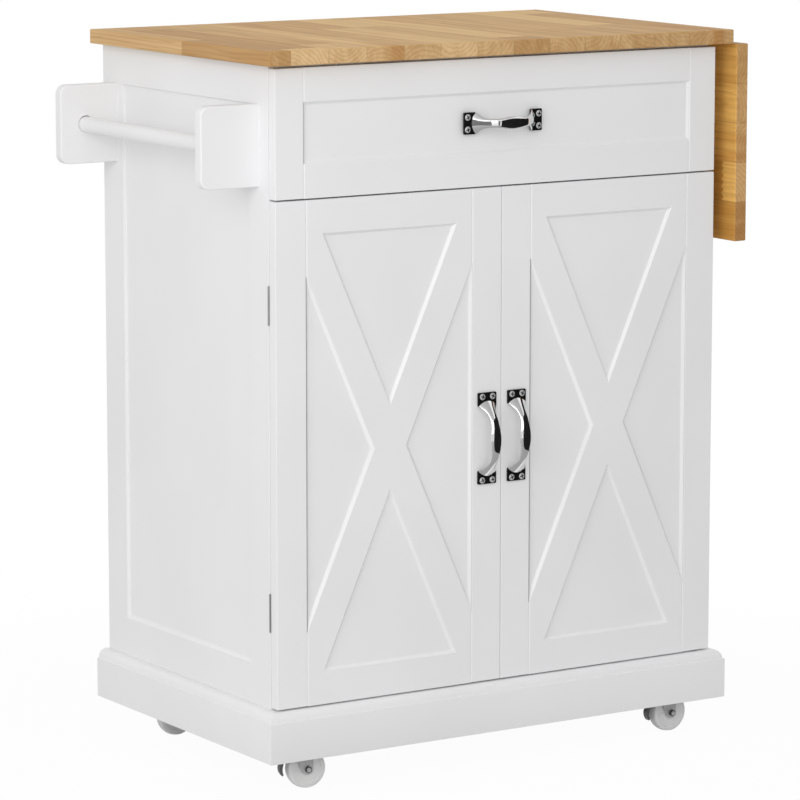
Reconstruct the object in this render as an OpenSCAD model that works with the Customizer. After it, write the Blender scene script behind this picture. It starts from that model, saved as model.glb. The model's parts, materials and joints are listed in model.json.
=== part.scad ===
// Drop leaf kitchen island: a painted cabinet with one drawer and two X-braced
// doors under a butcher-block top, with a hinged side leaf on two folding
// brackets, a towel rack and four swivel casters, the front two braked.
// X runs to the right along the front, Y runs back and Z runs up from the floor.
// The origin is on the floor, in the middle of the whole island's outline.

/* [Worktop and leaf] */
// Width of the worktop, along the front
top_w = 684; // [600:2:900]
// Depth of the worktop, front to back
top_d = 445; // [420:5:560]
// Thickness of the worktop and of the leaf
top_t = 18; // [16:1:24]
// Height of the worktop's upper face above the floor
total_h = 910; // [820:5:1000]
// Radius of the eased wooden edges
wood_edge_r = 1.6; // [0.8:0.2:2.4]
// Width of the leaf, which is its drop when it hangs
leaf_w = 252; // [220:2:300]
// Gap between the worktop's edge and the raised leaf
leaf_joint_gap = 1.55; // [1.2:0.05:2.5]

/* [Cabinet] */
// Worktop overhang beyond each side panel
side_overhang = 17; // [16:1:24]
// Worktop overhang beyond the door faces
front_overhang = 16; // [10:1:24]
// Worktop overhang beyond the back of the side panels
back_overhang = 3; // [0:1:12]
// Thickness of the side panels
panel_t = 18; // [16:1:22]
// Thickness of the bottom, divider and shelf boards
board_t = 15; // [12:1:18]
// Thickness of the back panel
back_t = 9; // [5:1:12]
// Gap between a closed door and the side panel's front edge
door_gap = 1; // [0.8:0.1:1.4]
// Gap between the worktop's underside and the drawer front
top_gap = 4; // [2:0.5:6]
// Gap between the drawer front and the doors
front_gap = 2; // [1.5:0.5:4]
// Gap between the two doors
doors_gap = 1; // [0.8:0.2:3]
// Width of a side panel's front stile
side_stile_front = 46; // [40:1:60]
// Width of a side panel's rear stile
side_stile_rear = 50; // [40:1:60]
// Width of a side panel's top and bottom rails
side_rail = 49; // [40:1:70]
// Height of the adjustable shelf above the cabinet floor
shelf_rise = 290; // [200:10:380]
// Spacing of the shelf pin holes
pin_pitch = 64; // [32:32:96]

/* [Doors and drawer front] */
// Thickness of the doors and the drawer front
door_t = 15; // [14:1:18]
// Height of the drawer front
drawer_front_h = 157; // [140:1:200]
// Width of a door's stiles
door_stile = 43; // [36:1:50]
// Width of a door's top and bottom rails
door_rail = 41; // [36:1:50]
// Width of the crossed braces
brace_w = 41.5; // [30:0.5:50]
// Width of the drawer front's stiles
drawer_stile = 40; // [36:1:50]
// Width of the drawer front's rails
drawer_rail = 41; // [34:1:50]
// Depth of the sunk fields in doors, drawer front and side panels
field_depth = 5; // [3:0.5:6]
// Width of the sloped edge round a sunk field
field_slope = 4.5; // [2:0.5:6]
// Width of the fine groove between stile and rail
groove_w = 2; // [0.6:0.2:3]
// Depth of that groove
groove_depth = 1; // [0.4:0.1:1.5]
// Radius of the eased painted edges
paint_edge_r = 1.2; // [0.6:0.2:1.4]
// Gap between the doors' lower edge and the plinth
door_floor_gap = 1.8; // [1.5:0.1:5]

/* [Door hinges] */
// Length of a door hinge's barrel
door_hinge_len = 47; // [40:1:60]
// Distance from the door's top to the middle of its upper hinge
hinge_inset_top = 126; // [80:1:160]
// Distance from the door's bottom to the middle of its lower hinge
hinge_inset_bottom = 118; // [80:1:160]
// Radius of a door hinge's barrel
door_barrel_r = 1.5; // [1.3:0.1:1.6]
// Thickness of a door hinge's leaf
door_hinge_t = 0.8; // [0.6:0.1:0.9]
// Width of a door hinge's leaf
door_hinge_w = 14; // [10:1:15]

/* [Plinth] */
// Clear height under the plinth
plinth_clear = 45; // [42:1:50]
// Height of the plinth
plinth_h = 62; // [56:1:80]
// Thickness of the plinth boards, which stand proud of the side panels by it
plinth_t = 17; // [15:1:20]
// Plinth front beyond the door faces
plinth_proud_front = 13; // [8:1:15]
// Plinth back beyond the back of the side panels
plinth_proud_back = 2; // [0:1:8]
// Radius of the quarter round along the plinth's top
ovolo_r = 10.4; // [8:0.2:12]
// Ledge below the quarter round
ovolo_step = 2.4; // [1:0.2:3]
// Small upright under the quarter round
ovolo_riser = 1; // [0.5:0.1:2]

/* [Drawer] */
// Height of the drawer box
box_h = 94; // [70:1:100]
// Clear space behind the closed drawer
drawer_back_gap = 42; // [25:1:80]
// Thickness of the drawer box's sides and back
box_t = 12; // [9:1:15]
// Thickness of the drawer bottom
box_bottom_t = 5; // [3:1:6]
// Space for a runner at each side of the drawer
runner_space = 12.7; // [12.7:0.1:14]
// Height of the fixed runner rail
runner_h = 45; // [35:1:46]
// Length of the runners
runner_len = 340; // [250:5:340]

/* [Pulls] */
// Overall length of a pull
pull_len = 115; // [100:1:130]
// Length of the flat foot at each end of a pull
foot_len = 17; // [16:0.5:22]
// Width of a pull's feet
foot_w = 27; // [22:1:32]
// Thickness of a pull's feet
foot_t = 2.4; // [1.5:0.1:4]
// How far the bow stands out from the door
pull_reach = 25; // [22:1:34]
// Thickness of the bow
bow_t = 5; // [3:0.5:7]
// Width of the bow at its middle
bow_w = 15.5; // [13:0.5:17]
// Width of the bow at its two waists
waist_w = 11.5; // [9:0.5:12]
// Height of the door pulls' middle above the floor
door_pull_z = 417; // [380:1:470]
// Radius of a pull's screw heads
pull_head_r = 3.5; // [2.5:0.1:4]

/* [Towel rack] */
// How far the towel brackets stand out from the side
rack_reach = 80; // [74:1:120]
// Height of a towel bracket
rack_h = 100; // [80:1:120]
// Thickness of a towel bracket
rack_t = 15; // [14:1:20]
// Radius of a bracket's outer corners
rack_corner_r = 12; // [8:1:25]
// Radius of the towel bar
bar_r = 10; // [8:0.5:12]
// Distance from the side panel to the middle of the bar
bar_out = 44.4; // [35:0.2:60]
// Depth of the bar's socket in each bracket
socket_depth = 9; // [6:0.5:11]
// Distance from the underside of the worktop to the top of the brackets
rack_drop = 48; // [30:1:80]

/* [Leaf hinges and folding brackets] */
// Number of leaf hinges
leaf_hinges = 3; // [2:1:4]
// Length of a leaf hinge
leaf_hinge_len = 60; // [45:1:70]
// Radius of a leaf hinge's barrel
leaf_barrel_r = 1.6; // [1.3:0.05:1.6]
// Thickness of a leaf hinge's plates
leaf_hinge_t = 1.2; // [0.8:0.1:1.3]
// Width of a leaf hinge's moving plate
leaf_hinge_w = 26; // [18:1:34]
// Height of the hinge pin below the underside of the boards
pin_drop = 1.85; // [1.85:0.05:2.2]
// Distance from the hinge axis to the strut's pivot along the leaf
strut_pivot = 92; // [80:1:95]
// Radius of the shoe at the foot of a strut
shoe_r = 7; // [6:0.5:7.5]
// Thickness of the sheet steel in the folding brackets
sheet_t = 1.5; // [1.2:0.1:2]

/* [Casters] */
// Radius of the caster wheels
wheel_r = 25; // [23:0.5:25.5]
// Width of the caster wheels
wheel_w = 15; // [12:0.5:15.5]
// Distance from the swivel axis to the axle
caster_trail = 5; // [4:0.5:7]
// How far the front left caster is swivelled
caster_turn = -10; // [-30:1:30]
// Distance from the plinth's sides to the swivel axes
caster_inset_x = 67; // [62:1:100]
// Distance from the plinth's front to the front swivel axes
caster_inset_front = 41; // [41:1:80]
// Distance from the plinth's back to the rear swivel axes
caster_inset_rear = 77; // [60:1:120]
// Height of a caster, floor to mounting face
caster_h = 68; // [68:0.5:74]

/* [Hidden] */
$fn = 64;

// Fits and small clearances
pin_fit = 0.05;         // radial, for a pin that turns in its bore
seat_fit = 0.02;        // radial, for a pin held in its bore
rest_gap = 0.3;         // between a part and the seat it comes to rest on
knuckle_gap = 0.3;      // between the knuckles of a hinge
cut = 1;                // how far a cutting shape runs past the face it cuts
skin = 0.01;            // thickness of the slices a sunk field is drawn between

// Heights above the floor
under_z = total_h - top_t;
drawer_top_z = under_z - top_gap;
drawer_bottom_z = drawer_top_z - drawer_front_h;
door_top_z = drawer_bottom_z - front_gap;
plinth_top_z = plinth_clear + plinth_h;
door_bottom_z = plinth_top_z + door_floor_gap;
door_h = door_top_z - door_bottom_z;
floor_z = plinth_top_z + board_t;       // upper face of the cabinet's bottom panel
divider_lap = 5;                        // how far the drawer front laps the divider
divider_top_z = drawer_bottom_z + divider_lap;
shelf_z = floor_z + shelf_rise;
panel_lift = 5;                         // side panels end this far above the plinth's foot
rail_t = 18;                            // thickness of the top rails
rail_w = 60;                            // width of the top rails
inside_top_z = under_z - rail_t;

// Places along X and Y, with X = 0 in the middle of the worktop and Y = 0 at its front
side_x = top_w / 2 - side_overhang;
inner_x = side_x - panel_t;
face_y = front_overhang;
door_back_y = face_y + door_t;
panel_front_y = door_back_y + door_gap;
back_y = top_d - back_overhang;
back_panel_y = back_y - back_t;
plinth_x = side_x + plinth_t;
plinth_front_y = face_y - plinth_proud_front;
plinth_inner_y = plinth_front_y + plinth_t;
plinth_back_y = back_y + plinth_proud_back;
plinth_back_inner_y = back_y - plinth_t;
door_inner_x = doors_gap / 2;
field_front_y = panel_front_y + side_stile_front;
field_rear_y = back_y - side_stile_rear;
front_stile_mid_y = panel_front_y + side_stile_front / 2;
rear_stile_mid_y = back_y - side_stile_rear / 2;

// Door hinge axes, just outside the side panels in the middle of the door gap
door_axis_out = 0.3;
door_axis_x = side_x + door_axis_out;
door_axis_y = door_back_y + door_gap / 2;
door_pin_r = 0.75;
door_knuckles = 5;
door_leaf_lift = 0.2;                   // between the middle of the gap and a hinge leaf
door_hinge_reach = door_barrel_r + rest_gap;
door_hinge_z = [door_bottom_z + hinge_inset_bottom, door_top_z - hinge_inset_top];

// Leaf hinge axis, and the hanging leaf beside it
leaf_axis_x = top_w / 2 + leaf_joint_gap + (pin_drop - 0.4);
leaf_axis_z = under_z - pin_drop;
leaf_in_x = leaf_axis_x + pin_drop;
leaf_out_x = leaf_in_x + top_t;
leaf_top_z = leaf_axis_z + (pin_drop - 0.4);
leaf_bottom_z = leaf_top_z - leaf_w;
leaf_pin_r = 0.8;
leaf_knuckles = 5;
plate_end_gap = 0.3;                    // between a hinge plate and the facing barrel
top_plate_gap = 1;                      // between the top plates and the side panel

// Folding brackets: a strut between the leaf arm's pivot and a shoe on the wall arm
bracket_y = [front_stile_mid_y, rear_stile_mid_y];
pivot_x = side_x + sheet_t + shoe_r + rest_gap;
pivot_in = leaf_axis_x - pivot_x;
pivot_z = leaf_axis_z - strut_pivot;
strut_len = sqrt(2) * (strut_pivot + pivot_in);
shoe_z = pivot_z - strut_len;
shoe_up_z = leaf_axis_z - strut_pivot - 2 * pivot_in;
strut_w = 10;
strut_t = 4.4;
ear_in = strut_t / 2 + rest_gap;
rivet_r = 2.5;
rivet_head_r = 4;
rivet_head_t = 1.2;
shoe_half_w = 6;
channel_half_w = 8.5;
channel_reach = 13;
channel_end = 8;                        // channel beyond the shoe at each end
arm_half_w = 10;
arm_start = 20;                         // leaf arm's start, measured from the hinge axis
arm_end = 12;                           // leaf arm beyond the strut's pivot

// Drawer box and its runners
box_x = inner_x - runner_space;
box_rise = 20;                          // drawer box above the divider
box_z = divider_top_z + box_rise;
box_back_y = back_panel_y - drawer_back_gap;
groove_fit = 0.1;
box_groove = 6;
box_bottom_z = box_z + 8;
runner_z = box_z + box_h / 2;
runner_y = panel_front_y + 2;
runner_sheet = 1.2;
fixed_reach = 9;
lip = 4;
slide_reach = 10.5;
slide_half_h = runner_h / 2 - lip - rest_gap;

// Magnetic catches and their strike plates
strike_t = 1.2;
strike_w = 30;
strike_h = 11;
catch_w = 40;
catch_d = 15;
catch_h = 13;
catch_x = 20;                           // from the middle of the cabinet to a catch
catch_y = door_back_y + strike_t + rest_gap;
catch_z = divider_top_z - board_t - catch_h;

// Shelf and its pins
shelf_side_gap = 1;
shelf_front_gap = 12;
shelf_back_gap = 2;
shelf_pin_r = 2.5;
shelf_pin_in = 8;                       // pin length inside the panel
shelf_pin_out = 8;                      // pin length under the shelf
pin_hole_depth = 10;
pin_rows = [-1, 0, 1];
shelf_pin_y = [panel_front_y + 50, back_panel_y - 50];

// Pulls
pull_screw_r = 1.6;
pull_screw_len = 11;
pull_screw_from_end = 5;
pull_screw_span = 15;
pull_head_t = 1.6;
pull_hole_fit = 0.1;
bow_tip = 10.5;                            // bare foot beyond the bow's tip, with the screws
bow_steps = 20;
bow_half = pull_len / 2 - bow_tip;
bow_power = 2.6;                        // how square the bow's arch is
waist_at = 0.57;                        // place of a waist, as a share of the bow's half length
flare_power = 4.2;                      // how late the bow flares towards its feet
drawer_pull_z = (drawer_top_z + drawer_bottom_z) / 2;
door_pull_x = door_inner_x + door_stile / 2;

// Towel rack
bar_play = 0.6;                         // radial, between the bar and its sockets
bar_seat = 0.05;                        // between the resting bar and its sockets
rack_z = under_z - rack_drop - rack_h;
socket_z = rack_z + rack_h / 2;
rack_shift = [6, -3];                   // of the brackets from the middle of the stiles
rack_y = [front_stile_mid_y - rack_t / 2 + rack_shift[0],
          rear_stile_mid_y - rack_t / 2 + rack_shift[1]];
bar_end_gap = 0.5;

// Casters
caster_x = plinth_x - caster_inset_x;
caster_y = [plinth_front_y + caster_inset_front, plinth_back_y - caster_inset_rear];
caster_plate = [56, 42, 2.5];
caster_screw = [22, 15];                // half the spacing of a plate's screws
caster_screw_r = 2.2;
caster_screw_len = 18;
caster_head_r = 4;
caster_head_t = 1.8;
screw_hole_fit = 0.1;
race_r = 15;
race_h = 4.5;
kingpin_r = 4;
crown_r = 17;
crown_t = 3;
crown_top_z = caster_h - caster_plate[2] - race_h - rest_gap;
crown_z = crown_top_z - crown_t;
fork_t = 2;
fork_in = wheel_w / 2 + 1;
fork_out = fork_in + fork_t;
fork_foot_r = 7;
axle_r = 3;
nut_r = 4.4;
nut_t = 3.5;
axle_tip = 1.5;
wheel_edge_r = 2.5;
hub_r = 9;
hub_dish = 1.2;                         // how far the wheel's web lies below its rim
rim_w = 4;
batten_w = 60;
lever_pin_r = 1.5;
lever_hub_r = 3;
lever_t = 2.6;
lever_half_w = 4;
lever_hub_half_w = fork_in - rest_gap;
// The brake lever's bends, from the axle: pivot, shoulder, heel and toe
lever_path = [[-10, 27], [-24, 24.5], [-33.5, 2], [-30, -9]];

// The island's outline, which the origin is in the middle of
outline_left = -(side_x + rack_reach);
outline_right = leaf_out_x;
outline_front = face_y - pull_reach;
outline_back = max(top_d, plinth_back_y);
centre_x = (outline_left + outline_right) / 2;
centre_y = (outline_front + outline_back) / 2;

// ---------------------------------------------------------------- helpers

// Moves a piece from the worktop's coordinates to the island's own origin
module placed() {
    translate([-centre_x, -centre_y, 0]) children();
}

// A box between two corners
module block(low, high) {
    translate(low) cube(high - low);
}

// A box between two corners with all its edges rounded
module eased_block(low, high, r) {
    size = high - low;
    translate(low) intersection() {
        linear_extrude(size[2]) eased_rect(size[0], size[1], r);
        translate([0, size[1], 0]) rotate([90, 0, 0])
            linear_extrude(size[1]) eased_rect(size[0], size[2], r);
        rotate([90, 0, 90]) linear_extrude(size[0]) eased_rect(size[1], size[2], r);
    }
}

module eased_rect(w, h, r) {
    translate([r, 0]) square([w - 2 * r, h]);
    translate([0, r]) square([w, h - 2 * r]);
    for (x = [r, w - r], y = [r, h - r]) translate([x, y]) circle(r, $fn = 32);
}

// Turns a drawing in X and Y, with Z out of the face, onto a front that faces -Y
module on_front(y) {
    translate([0, y, 0]) rotate([90, 0, 0]) children();
}

// The same for the right side panel's outer face, where the drawing's X runs back
module on_right(x) {
    translate([x, 0, 0]) rotate([90, 0, 90]) children();
}

module mirrored(on) {
    mirror([on ? 1 : 0, 0, 0]) children();
}

// A sunk field with sloped edges, cut below Z = 0
module field(points) {
    hull() {
        linear_extrude(skin) polygon(points);
        translate([0, 0, -field_depth]) linear_extrude(skin)
            offset(delta = -field_slope) polygon(points);
    }
}

function rect_points(x0, y0, x1, y1) = [[x0, y0], [x1, y0], [x1, y1], [x0, y1]];

// Knuckles of one hinge half along Z, every second one from number first
module knuckles(length, count, first, barrel_r, bore_r) {
    pitch = (length + knuckle_gap) / count;
    for (i = [first : 2 : count - 1]) translate([0, 0, i * pitch - length / 2]) difference() {
        cylinder(h = pitch - knuckle_gap, r = barrel_r, $fn = 32);
        translate([0, 0, -cut]) cylinder(h = pitch + cut, r = bore_r, $fn = 32);
    }
}

// Straps that join those knuckles to their leaf, from the barrel's skin outwards
module straps(length, count, first, low, high) {
    pitch = (length + knuckle_gap) / count;
    for (i = [first : 2 : count - 1])
        block([low[0], low[1], i * pitch - length / 2],
              [high[0], high[1], (i + 1) * pitch - knuckle_gap - length / 2]);
}

// ---------------------------------------------------------------- worktop

module worktop() {
    color("burlywood") placed()
        eased_block([-top_w / 2, 0, under_z], [top_w / 2, top_d, total_h], wood_edge_r);
}

// ---------------------------------------------------------------- cabinet

module side_panel() {
    difference() {
        eased_block([inner_x, panel_front_y, plinth_clear + panel_lift],
                    [side_x, back_y, under_z], paint_edge_r);
        on_right(side_x) field(rect_points(field_front_y, plinth_top_z + side_rail,
                                           field_rear_y, under_z - side_rail));
        for (y = shelf_pin_y, row = pin_rows)
            translate([inner_x - cut, y, shelf_z - shelf_pin_r + row * pin_pitch])
                rotate([0, 90, 0]) cylinder(h = cut + pin_hole_depth, r = shelf_pin_r + seat_fit);
        for (z = door_hinge_z) door_hinge_mortise(z, panel_front_y, 1);
    }
}

// Room for a door hinge's barrel and leaf in an edge at Y = y, on its inner side for side = -1
module door_hinge_mortise(z, y, side) {
    half = door_hinge_len / 2 + rest_gap;
    barrel_depth = door_barrel_r + rest_gap - door_gap / 2;
    leaf_depth = door_hinge_t + door_leaf_lift - door_gap / 2;
    for (room = [[door_axis_x - door_hinge_reach, side_x + cut, barrel_depth],
                 [side_x - door_hinge_w - rest_gap, side_x + cut, leaf_depth]])
        block([room[0], min(y - side * cut, y + side * room[2]), z - half],
              [room[1], max(y - side * cut, y + side * room[2]), z + half]);
}

module side_panel_left() {
    color("white") placed() mirrored(true) side_panel();
}

module side_panel_right() {
    color("white") placed() side_panel();
}

module back_panel() {
    color("white") placed() block([-inner_x, back_panel_y, plinth_top_z],
                                  [inner_x, back_y, under_z]);
}

module bottom_panel() {
    color("white") placed() block([-inner_x, panel_front_y, plinth_top_z],
                                  [inner_x, back_panel_y, floor_z]);
}

module divider_panel() {
    color("white") placed() block([-inner_x, panel_front_y, divider_top_z - board_t],
                                  [inner_x, back_panel_y, divider_top_z]);
}

module top_rails() {
    color("white") placed() for (y = [panel_front_y, back_panel_y - rail_w])
        block([-inner_x, y, inside_top_z], [inner_x, y + rail_w, under_z]);
}

module adjustable_shelf() {
    color("white") placed() block([shelf_side_gap - inner_x, panel_front_y + shelf_front_gap, shelf_z],
                                  [inner_x - shelf_side_gap, back_panel_y - shelf_back_gap,
                                   shelf_z + board_t]);
}

module shelf_pins() {
    color("silver") placed() for (y = shelf_pin_y, left = [true, false]) mirrored(left)
        translate([inner_x - shelf_pin_out, y, shelf_z - shelf_pin_r]) rotate([0, 90, 0])
            cylinder(h = shelf_pin_out + shelf_pin_in, r = shelf_pin_r, $fn = 32);
}

// ---------------------------------------------------------------- plinth

// Cross section of a plinth board: X is the depth behind its face, Y the height
module plinth_profile() {
    ledge_h = plinth_h - ovolo_r - ovolo_riser;
    difference() {
        square([plinth_t, plinth_h]);
        difference() {
            translate([-cut, ledge_h])
                square([cut + ovolo_step + ovolo_r, ovolo_r + ovolo_riser + cut]);
            translate([ovolo_step + ovolo_r, plinth_h - ovolo_r]) circle(ovolo_r);
            translate([ovolo_step, ledge_h]) square([ovolo_r, ovolo_riser]);
        }
    }
}

// A prism over the front right corner, before or behind its mitre line
module mitre(behind) {
    reach = 2 * plinth_t;
    front_end = [plinth_x + cut, plinth_front_y - cut];
    rear_end = [plinth_x - reach, plinth_front_y + reach];
    third = behind ? [front_end[0], rear_end[1]] : [rear_end[0], front_end[1]];
    translate([0, 0, plinth_clear - cut]) linear_extrude(plinth_h + 2 * cut)
        polygon([front_end, rear_end, third]);
}

module plinth_side() {
    difference() {
        translate([plinth_x, plinth_back_y, plinth_clear]) rotate([90, 0, 0])
            linear_extrude(plinth_back_y - plinth_front_y) mirror([1, 0]) plinth_profile();
        mitre(false);
    }
}

module plinth_front() {
    color("white") placed() difference() {
        translate([-plinth_x, plinth_front_y, plinth_clear]) rotate([90, 0, 90])
            linear_extrude(2 * plinth_x) plinth_profile();
        mitre(true);
        mirrored(true) mitre(true);
    }
}

module plinth_left() {
    color("white") placed() mirrored(true) plinth_side();
}

module plinth_right() {
    color("white") placed() plinth_side();
}

module plinth_back() {
    color("white") placed() block([-inner_x, plinth_back_inner_y, plinth_clear],
                                  [inner_x, back_y, plinth_top_z]);
}

// Battens that carry the casters, and one that backs the front board
module base_battens() {
    color("tan") placed() difference() {
        union() {
            for (left = [true, false]) mirrored(left)
                block([inner_x - batten_w, panel_front_y, caster_h],
                      [inner_x, plinth_back_inner_y, plinth_top_z]);
            block([-side_x, plinth_inner_y, caster_h], [side_x, panel_front_y, plinth_top_z]);
        }
        at_caster_screws() cylinder(h = caster_screw_len, r = caster_screw_r + screw_hole_fit,
                                    $fn = 24);
    }
}

// ---------------------------------------------------------------- towel rack

// A bracket from its front face at Y = y, with a socket in its rear face or its front one
module towel_bracket(y, socket_in_rear) {
    socket_y = socket_in_rear ? y + rack_t - socket_depth : y - cut;
    difference() {
        translate([-side_x, y + rack_t, rack_z]) rotate([90, 0, 0]) linear_extrude(rack_t)
            rack_outline();
        translate([-side_x - bar_out, socket_y, socket_z]) rotate([-90, 0, 0])
            cylinder(h = socket_depth + cut, r = bar_r + bar_play);
    }
}

// A bracket seen from the front, with its origin at its lower inner corner
module rack_outline() {
    inner_w = rack_reach - rack_corner_r;
    translate([-inner_w, 0]) square([inner_w, rack_h]);
    translate([-rack_reach, rack_corner_r]) square([rack_reach, rack_h - 2 * rack_corner_r]);
    for (z = [rack_corner_r, rack_h - rack_corner_r])
        translate([-inner_w, z]) circle(rack_corner_r);
}

module towel_bracket_front() {
    color("white") placed() towel_bracket(rack_y[0], true);
}

module towel_bracket_rear() {
    color("white") placed() towel_bracket(rack_y[1], false);
}

// The bar lies on the bottom of its sockets
module towel_bar() {
    start_y = rack_y[0] + rack_t - socket_depth + bar_end_gap;
    end_y = rack_y[1] + socket_depth - bar_end_gap;
    color("white") placed()
        translate([-side_x - bar_out, start_y, socket_z - bar_play + bar_seat])
            rotate([-90, 0, 0]) cylinder(h = end_y - start_y, r = bar_r);
}

// ---------------------------------------------------------------- drawer

// The fixed rail, a channel that opens towards the drawer
module drawer_runners() {
    color("silver") placed() for (left = [true, false]) mirrored(left) {
        low = [inner_x - fixed_reach, runner_y, runner_z - runner_h / 2];
        high = [inner_x, runner_y + runner_len, runner_z + runner_h / 2];
        difference() {
            block(low, high);
            block([low[0] + runner_sheet, low[1] - cut, low[2] + runner_sheet],
                  [high[0] - runner_sheet, high[1] + cut, high[2] - runner_sheet]);
            block([low[0] - cut, low[1] - cut, low[2] + lip],
                  [high[0] - runner_sheet, high[1] + cut, high[2] - lip]);
        }
    }
}

// The sliding member, a channel on the drawer side that runs between the rail's lips
module drawer_slides() {
    color("silver") placed() for (left = [true, false]) mirrored(left) difference() {
        block([box_x, runner_y, runner_z - slide_half_h],
              [box_x + slide_reach, runner_y + runner_len, runner_z + slide_half_h]);
        block([box_x + runner_sheet, runner_y - cut, runner_z - slide_half_h + runner_sheet],
              [box_x + slide_reach + cut, runner_y + runner_len + cut,
               runner_z + slide_half_h - runner_sheet]);
    }
}

module drawer_side() {
    difference() {
        block([box_x - box_t, door_back_y, box_z], [box_x, box_back_y, box_z + box_h]);
        block([box_x - box_t - cut, door_back_y - cut, box_bottom_z - groove_fit],
              [box_x - box_t + box_groove, box_back_y - box_t,
               box_bottom_z + box_bottom_t + groove_fit]);
    }
}

module drawer_side_left() {
    color("wheat") placed() mirrored(true) drawer_side();
}

module drawer_side_right() {
    color("wheat") placed() drawer_side();
}

module drawer_back() {
    color("wheat") placed() block([box_t - box_x, box_back_y - box_t, box_z],
                                  [box_x - box_t, box_back_y, box_z + box_h]);
}

module drawer_bottom() {
    half = box_x - box_t + box_groove - groove_fit;
    color("wheat") placed() block([-half, door_back_y, box_bottom_z],
                                  [half, box_back_y - box_t, box_bottom_z + box_bottom_t]);
}

module drawer_front() {
    field_x = side_x - drawer_stile;
    color("white") placed() difference() {
        eased_block([-side_x, face_y, drawer_bottom_z], [side_x, door_back_y, drawer_top_z],
                    paint_edge_r);
        on_front(face_y) field(rect_points(-field_x, drawer_bottom_z + drawer_rail,
                                           field_x, drawer_top_z - drawer_rail));
        for (x = [-field_x, field_x]) stile_groove(x, drawer_bottom_z, drawer_front_h);
        drawer_pull_place() pull_screws(pull_hole_fit);
    }
}

// The fine groove beside a stile, over a front's whole height
module stile_groove(x, z, height) {
    block([x - groove_w / 2, face_y - cut, z - cut],
          [x + groove_w / 2, face_y + groove_depth, z + height + cut]);
}

// ---------------------------------------------------------------- doors

// The right door; the left one is its mirror image
module door() {
    left = door_inner_x + door_stile;
    right = side_x - door_stile;
    difference() {
        eased_block([door_inner_x, face_y, door_bottom_z], [side_x, door_back_y, door_top_z],
                    paint_edge_r);
        on_front(face_y) translate([(left + right) / 2, (door_bottom_z + door_top_z) / 2])
            brace_fields((right - left) / 2, door_h / 2 - door_rail);
        for (x = [left, right]) stile_groove(x, door_bottom_z, door_h);
        for (z = door_hinge_z) door_hinge_mortise(z, door_back_y, -1);
        door_pull_place() pull_screws(pull_hole_fit);
    }
}

// The four sunk triangles that two crossed braces leave in an opening, given by its halves
module brace_fields(half_w, half_h) {
    slope = half_h / half_w;
    apex_h = brace_w / 2 * sqrt(1 + slope * slope);
    apex_w = apex_h / slope;
    for (side = [-1, 1]) {
        field([[0, side * apex_h], [side * (half_h - apex_h) / slope, side * half_h],
               [-side * (half_h - apex_h) / slope, side * half_h]]);
        field([[side * apex_w, 0], [side * half_w, -side * (half_w - apex_w) * slope],
               [side * half_w, side * (half_w - apex_w) * slope]]);
    }
}

module door_left() {
    color("white") placed() mirrored(true) door();
}

module door_right() {
    color("white") placed() door();
}

// The strike plate on the back of the right door
module strike() {
    x = catch_x + (catch_w - strike_w) / 2;
    z = catch_z + (catch_h - strike_h) / 2;
    block([x, door_back_y, z], [x + strike_w, door_back_y + strike_t, z + strike_h]);
}

module door_left_strike() {
    color("silver") placed() mirrored(true) strike();
}

module door_right_strike() {
    color("silver") placed() strike();
}

module magnet_catches() {
    color("gainsboro") placed() for (left = [true, false]) mirrored(left)
        block([catch_x, catch_y, catch_z], [catch_x + catch_w, catch_y + catch_d, catch_z + catch_h]);
}

// ---------------------------------------------------------------- door hinges

// One half of the right door's hinges: side = 1 for the cabinet's, -1 for the door's
module door_hinge_half(side, first, bore_r) {
    near = door_leaf_lift;
    far = near + door_hinge_t;
    for (z = door_hinge_z) translate([door_axis_x, door_axis_y, z]) {
        knuckles(door_hinge_len, door_knuckles, first, door_barrel_r, bore_r);
        difference() {
            union() {
                straps(door_hinge_len, door_knuckles, first,
                       [-door_hinge_reach - cut, min(side * near, side * far)],
                       [0, max(side * near, side * far)]);
                block([-door_axis_out - door_hinge_w, min(side * near, side * far),
                       -door_hinge_len / 2],
                      [-door_hinge_reach, max(side * near, side * far), door_hinge_len / 2]);
            }
            translate([0, 0, -door_hinge_len / 2 - cut])
                cylinder(h = door_hinge_len + 2 * cut, r = bore_r, $fn = 32);
        }
    }
}

module door_hinge_frame_leaves() {
    color("silver") placed() for (left = [true, false]) mirrored(left)
        door_hinge_half(1, 0, door_pin_r + seat_fit);
}

module door_left_hinge_leaves() {
    color("silver") placed() mirrored(true) door_hinge_half(-1, 1, door_pin_r + pin_fit);
}

module door_right_hinge_leaves() {
    color("silver") placed() door_hinge_half(-1, 1, door_pin_r + pin_fit);
}

module door_hinge_pins() {
    color("silver") placed() for (left = [true, false], z = door_hinge_z) mirrored(left)
        translate([door_axis_x, door_axis_y, z - door_hinge_len / 2])
            cylinder(h = door_hinge_len, r = door_pin_r, $fn = 32);
}

// ---------------------------------------------------------------- pulls

// A pull lies along X in its own drawing, with Z out of the door
module pull() {
    foot_x = pull_len / 2 - foot_len;
    difference() {
        union() {
            for (side = [-1, 1])
                translate([side * (foot_x + foot_len / 2), 0, foot_t / 2])
                    cube([foot_len, foot_w, foot_t], center = true);
            intersection() {
                translate([0, foot_w / 2, 0]) rotate([90, 0, 0]) linear_extrude(foot_w) bow_arch();
                linear_extrude(pull_reach) bow_outline();
            }
        }
        pull_screws(pull_hole_fit);
    }
}

// Half the bow's width at a distance x from its middle: swelled, waisted, then flared
function bow_half_w(x) = let (t = abs(x) / bow_half / waist_at)
    (waist_w + (bow_w - waist_w) * (1 + cos(180 * min(t, 1))) / 2
     + (foot_w - waist_w) * pow(max(0, (t - 1) / (1 / waist_at - 1)), flare_power)) / 2;

// Height of the bow's outer and inner skin at a distance x from its middle
function arch_h(x, half, reach) = reach * (1 - pow(abs(x) / half, bow_power));

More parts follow.
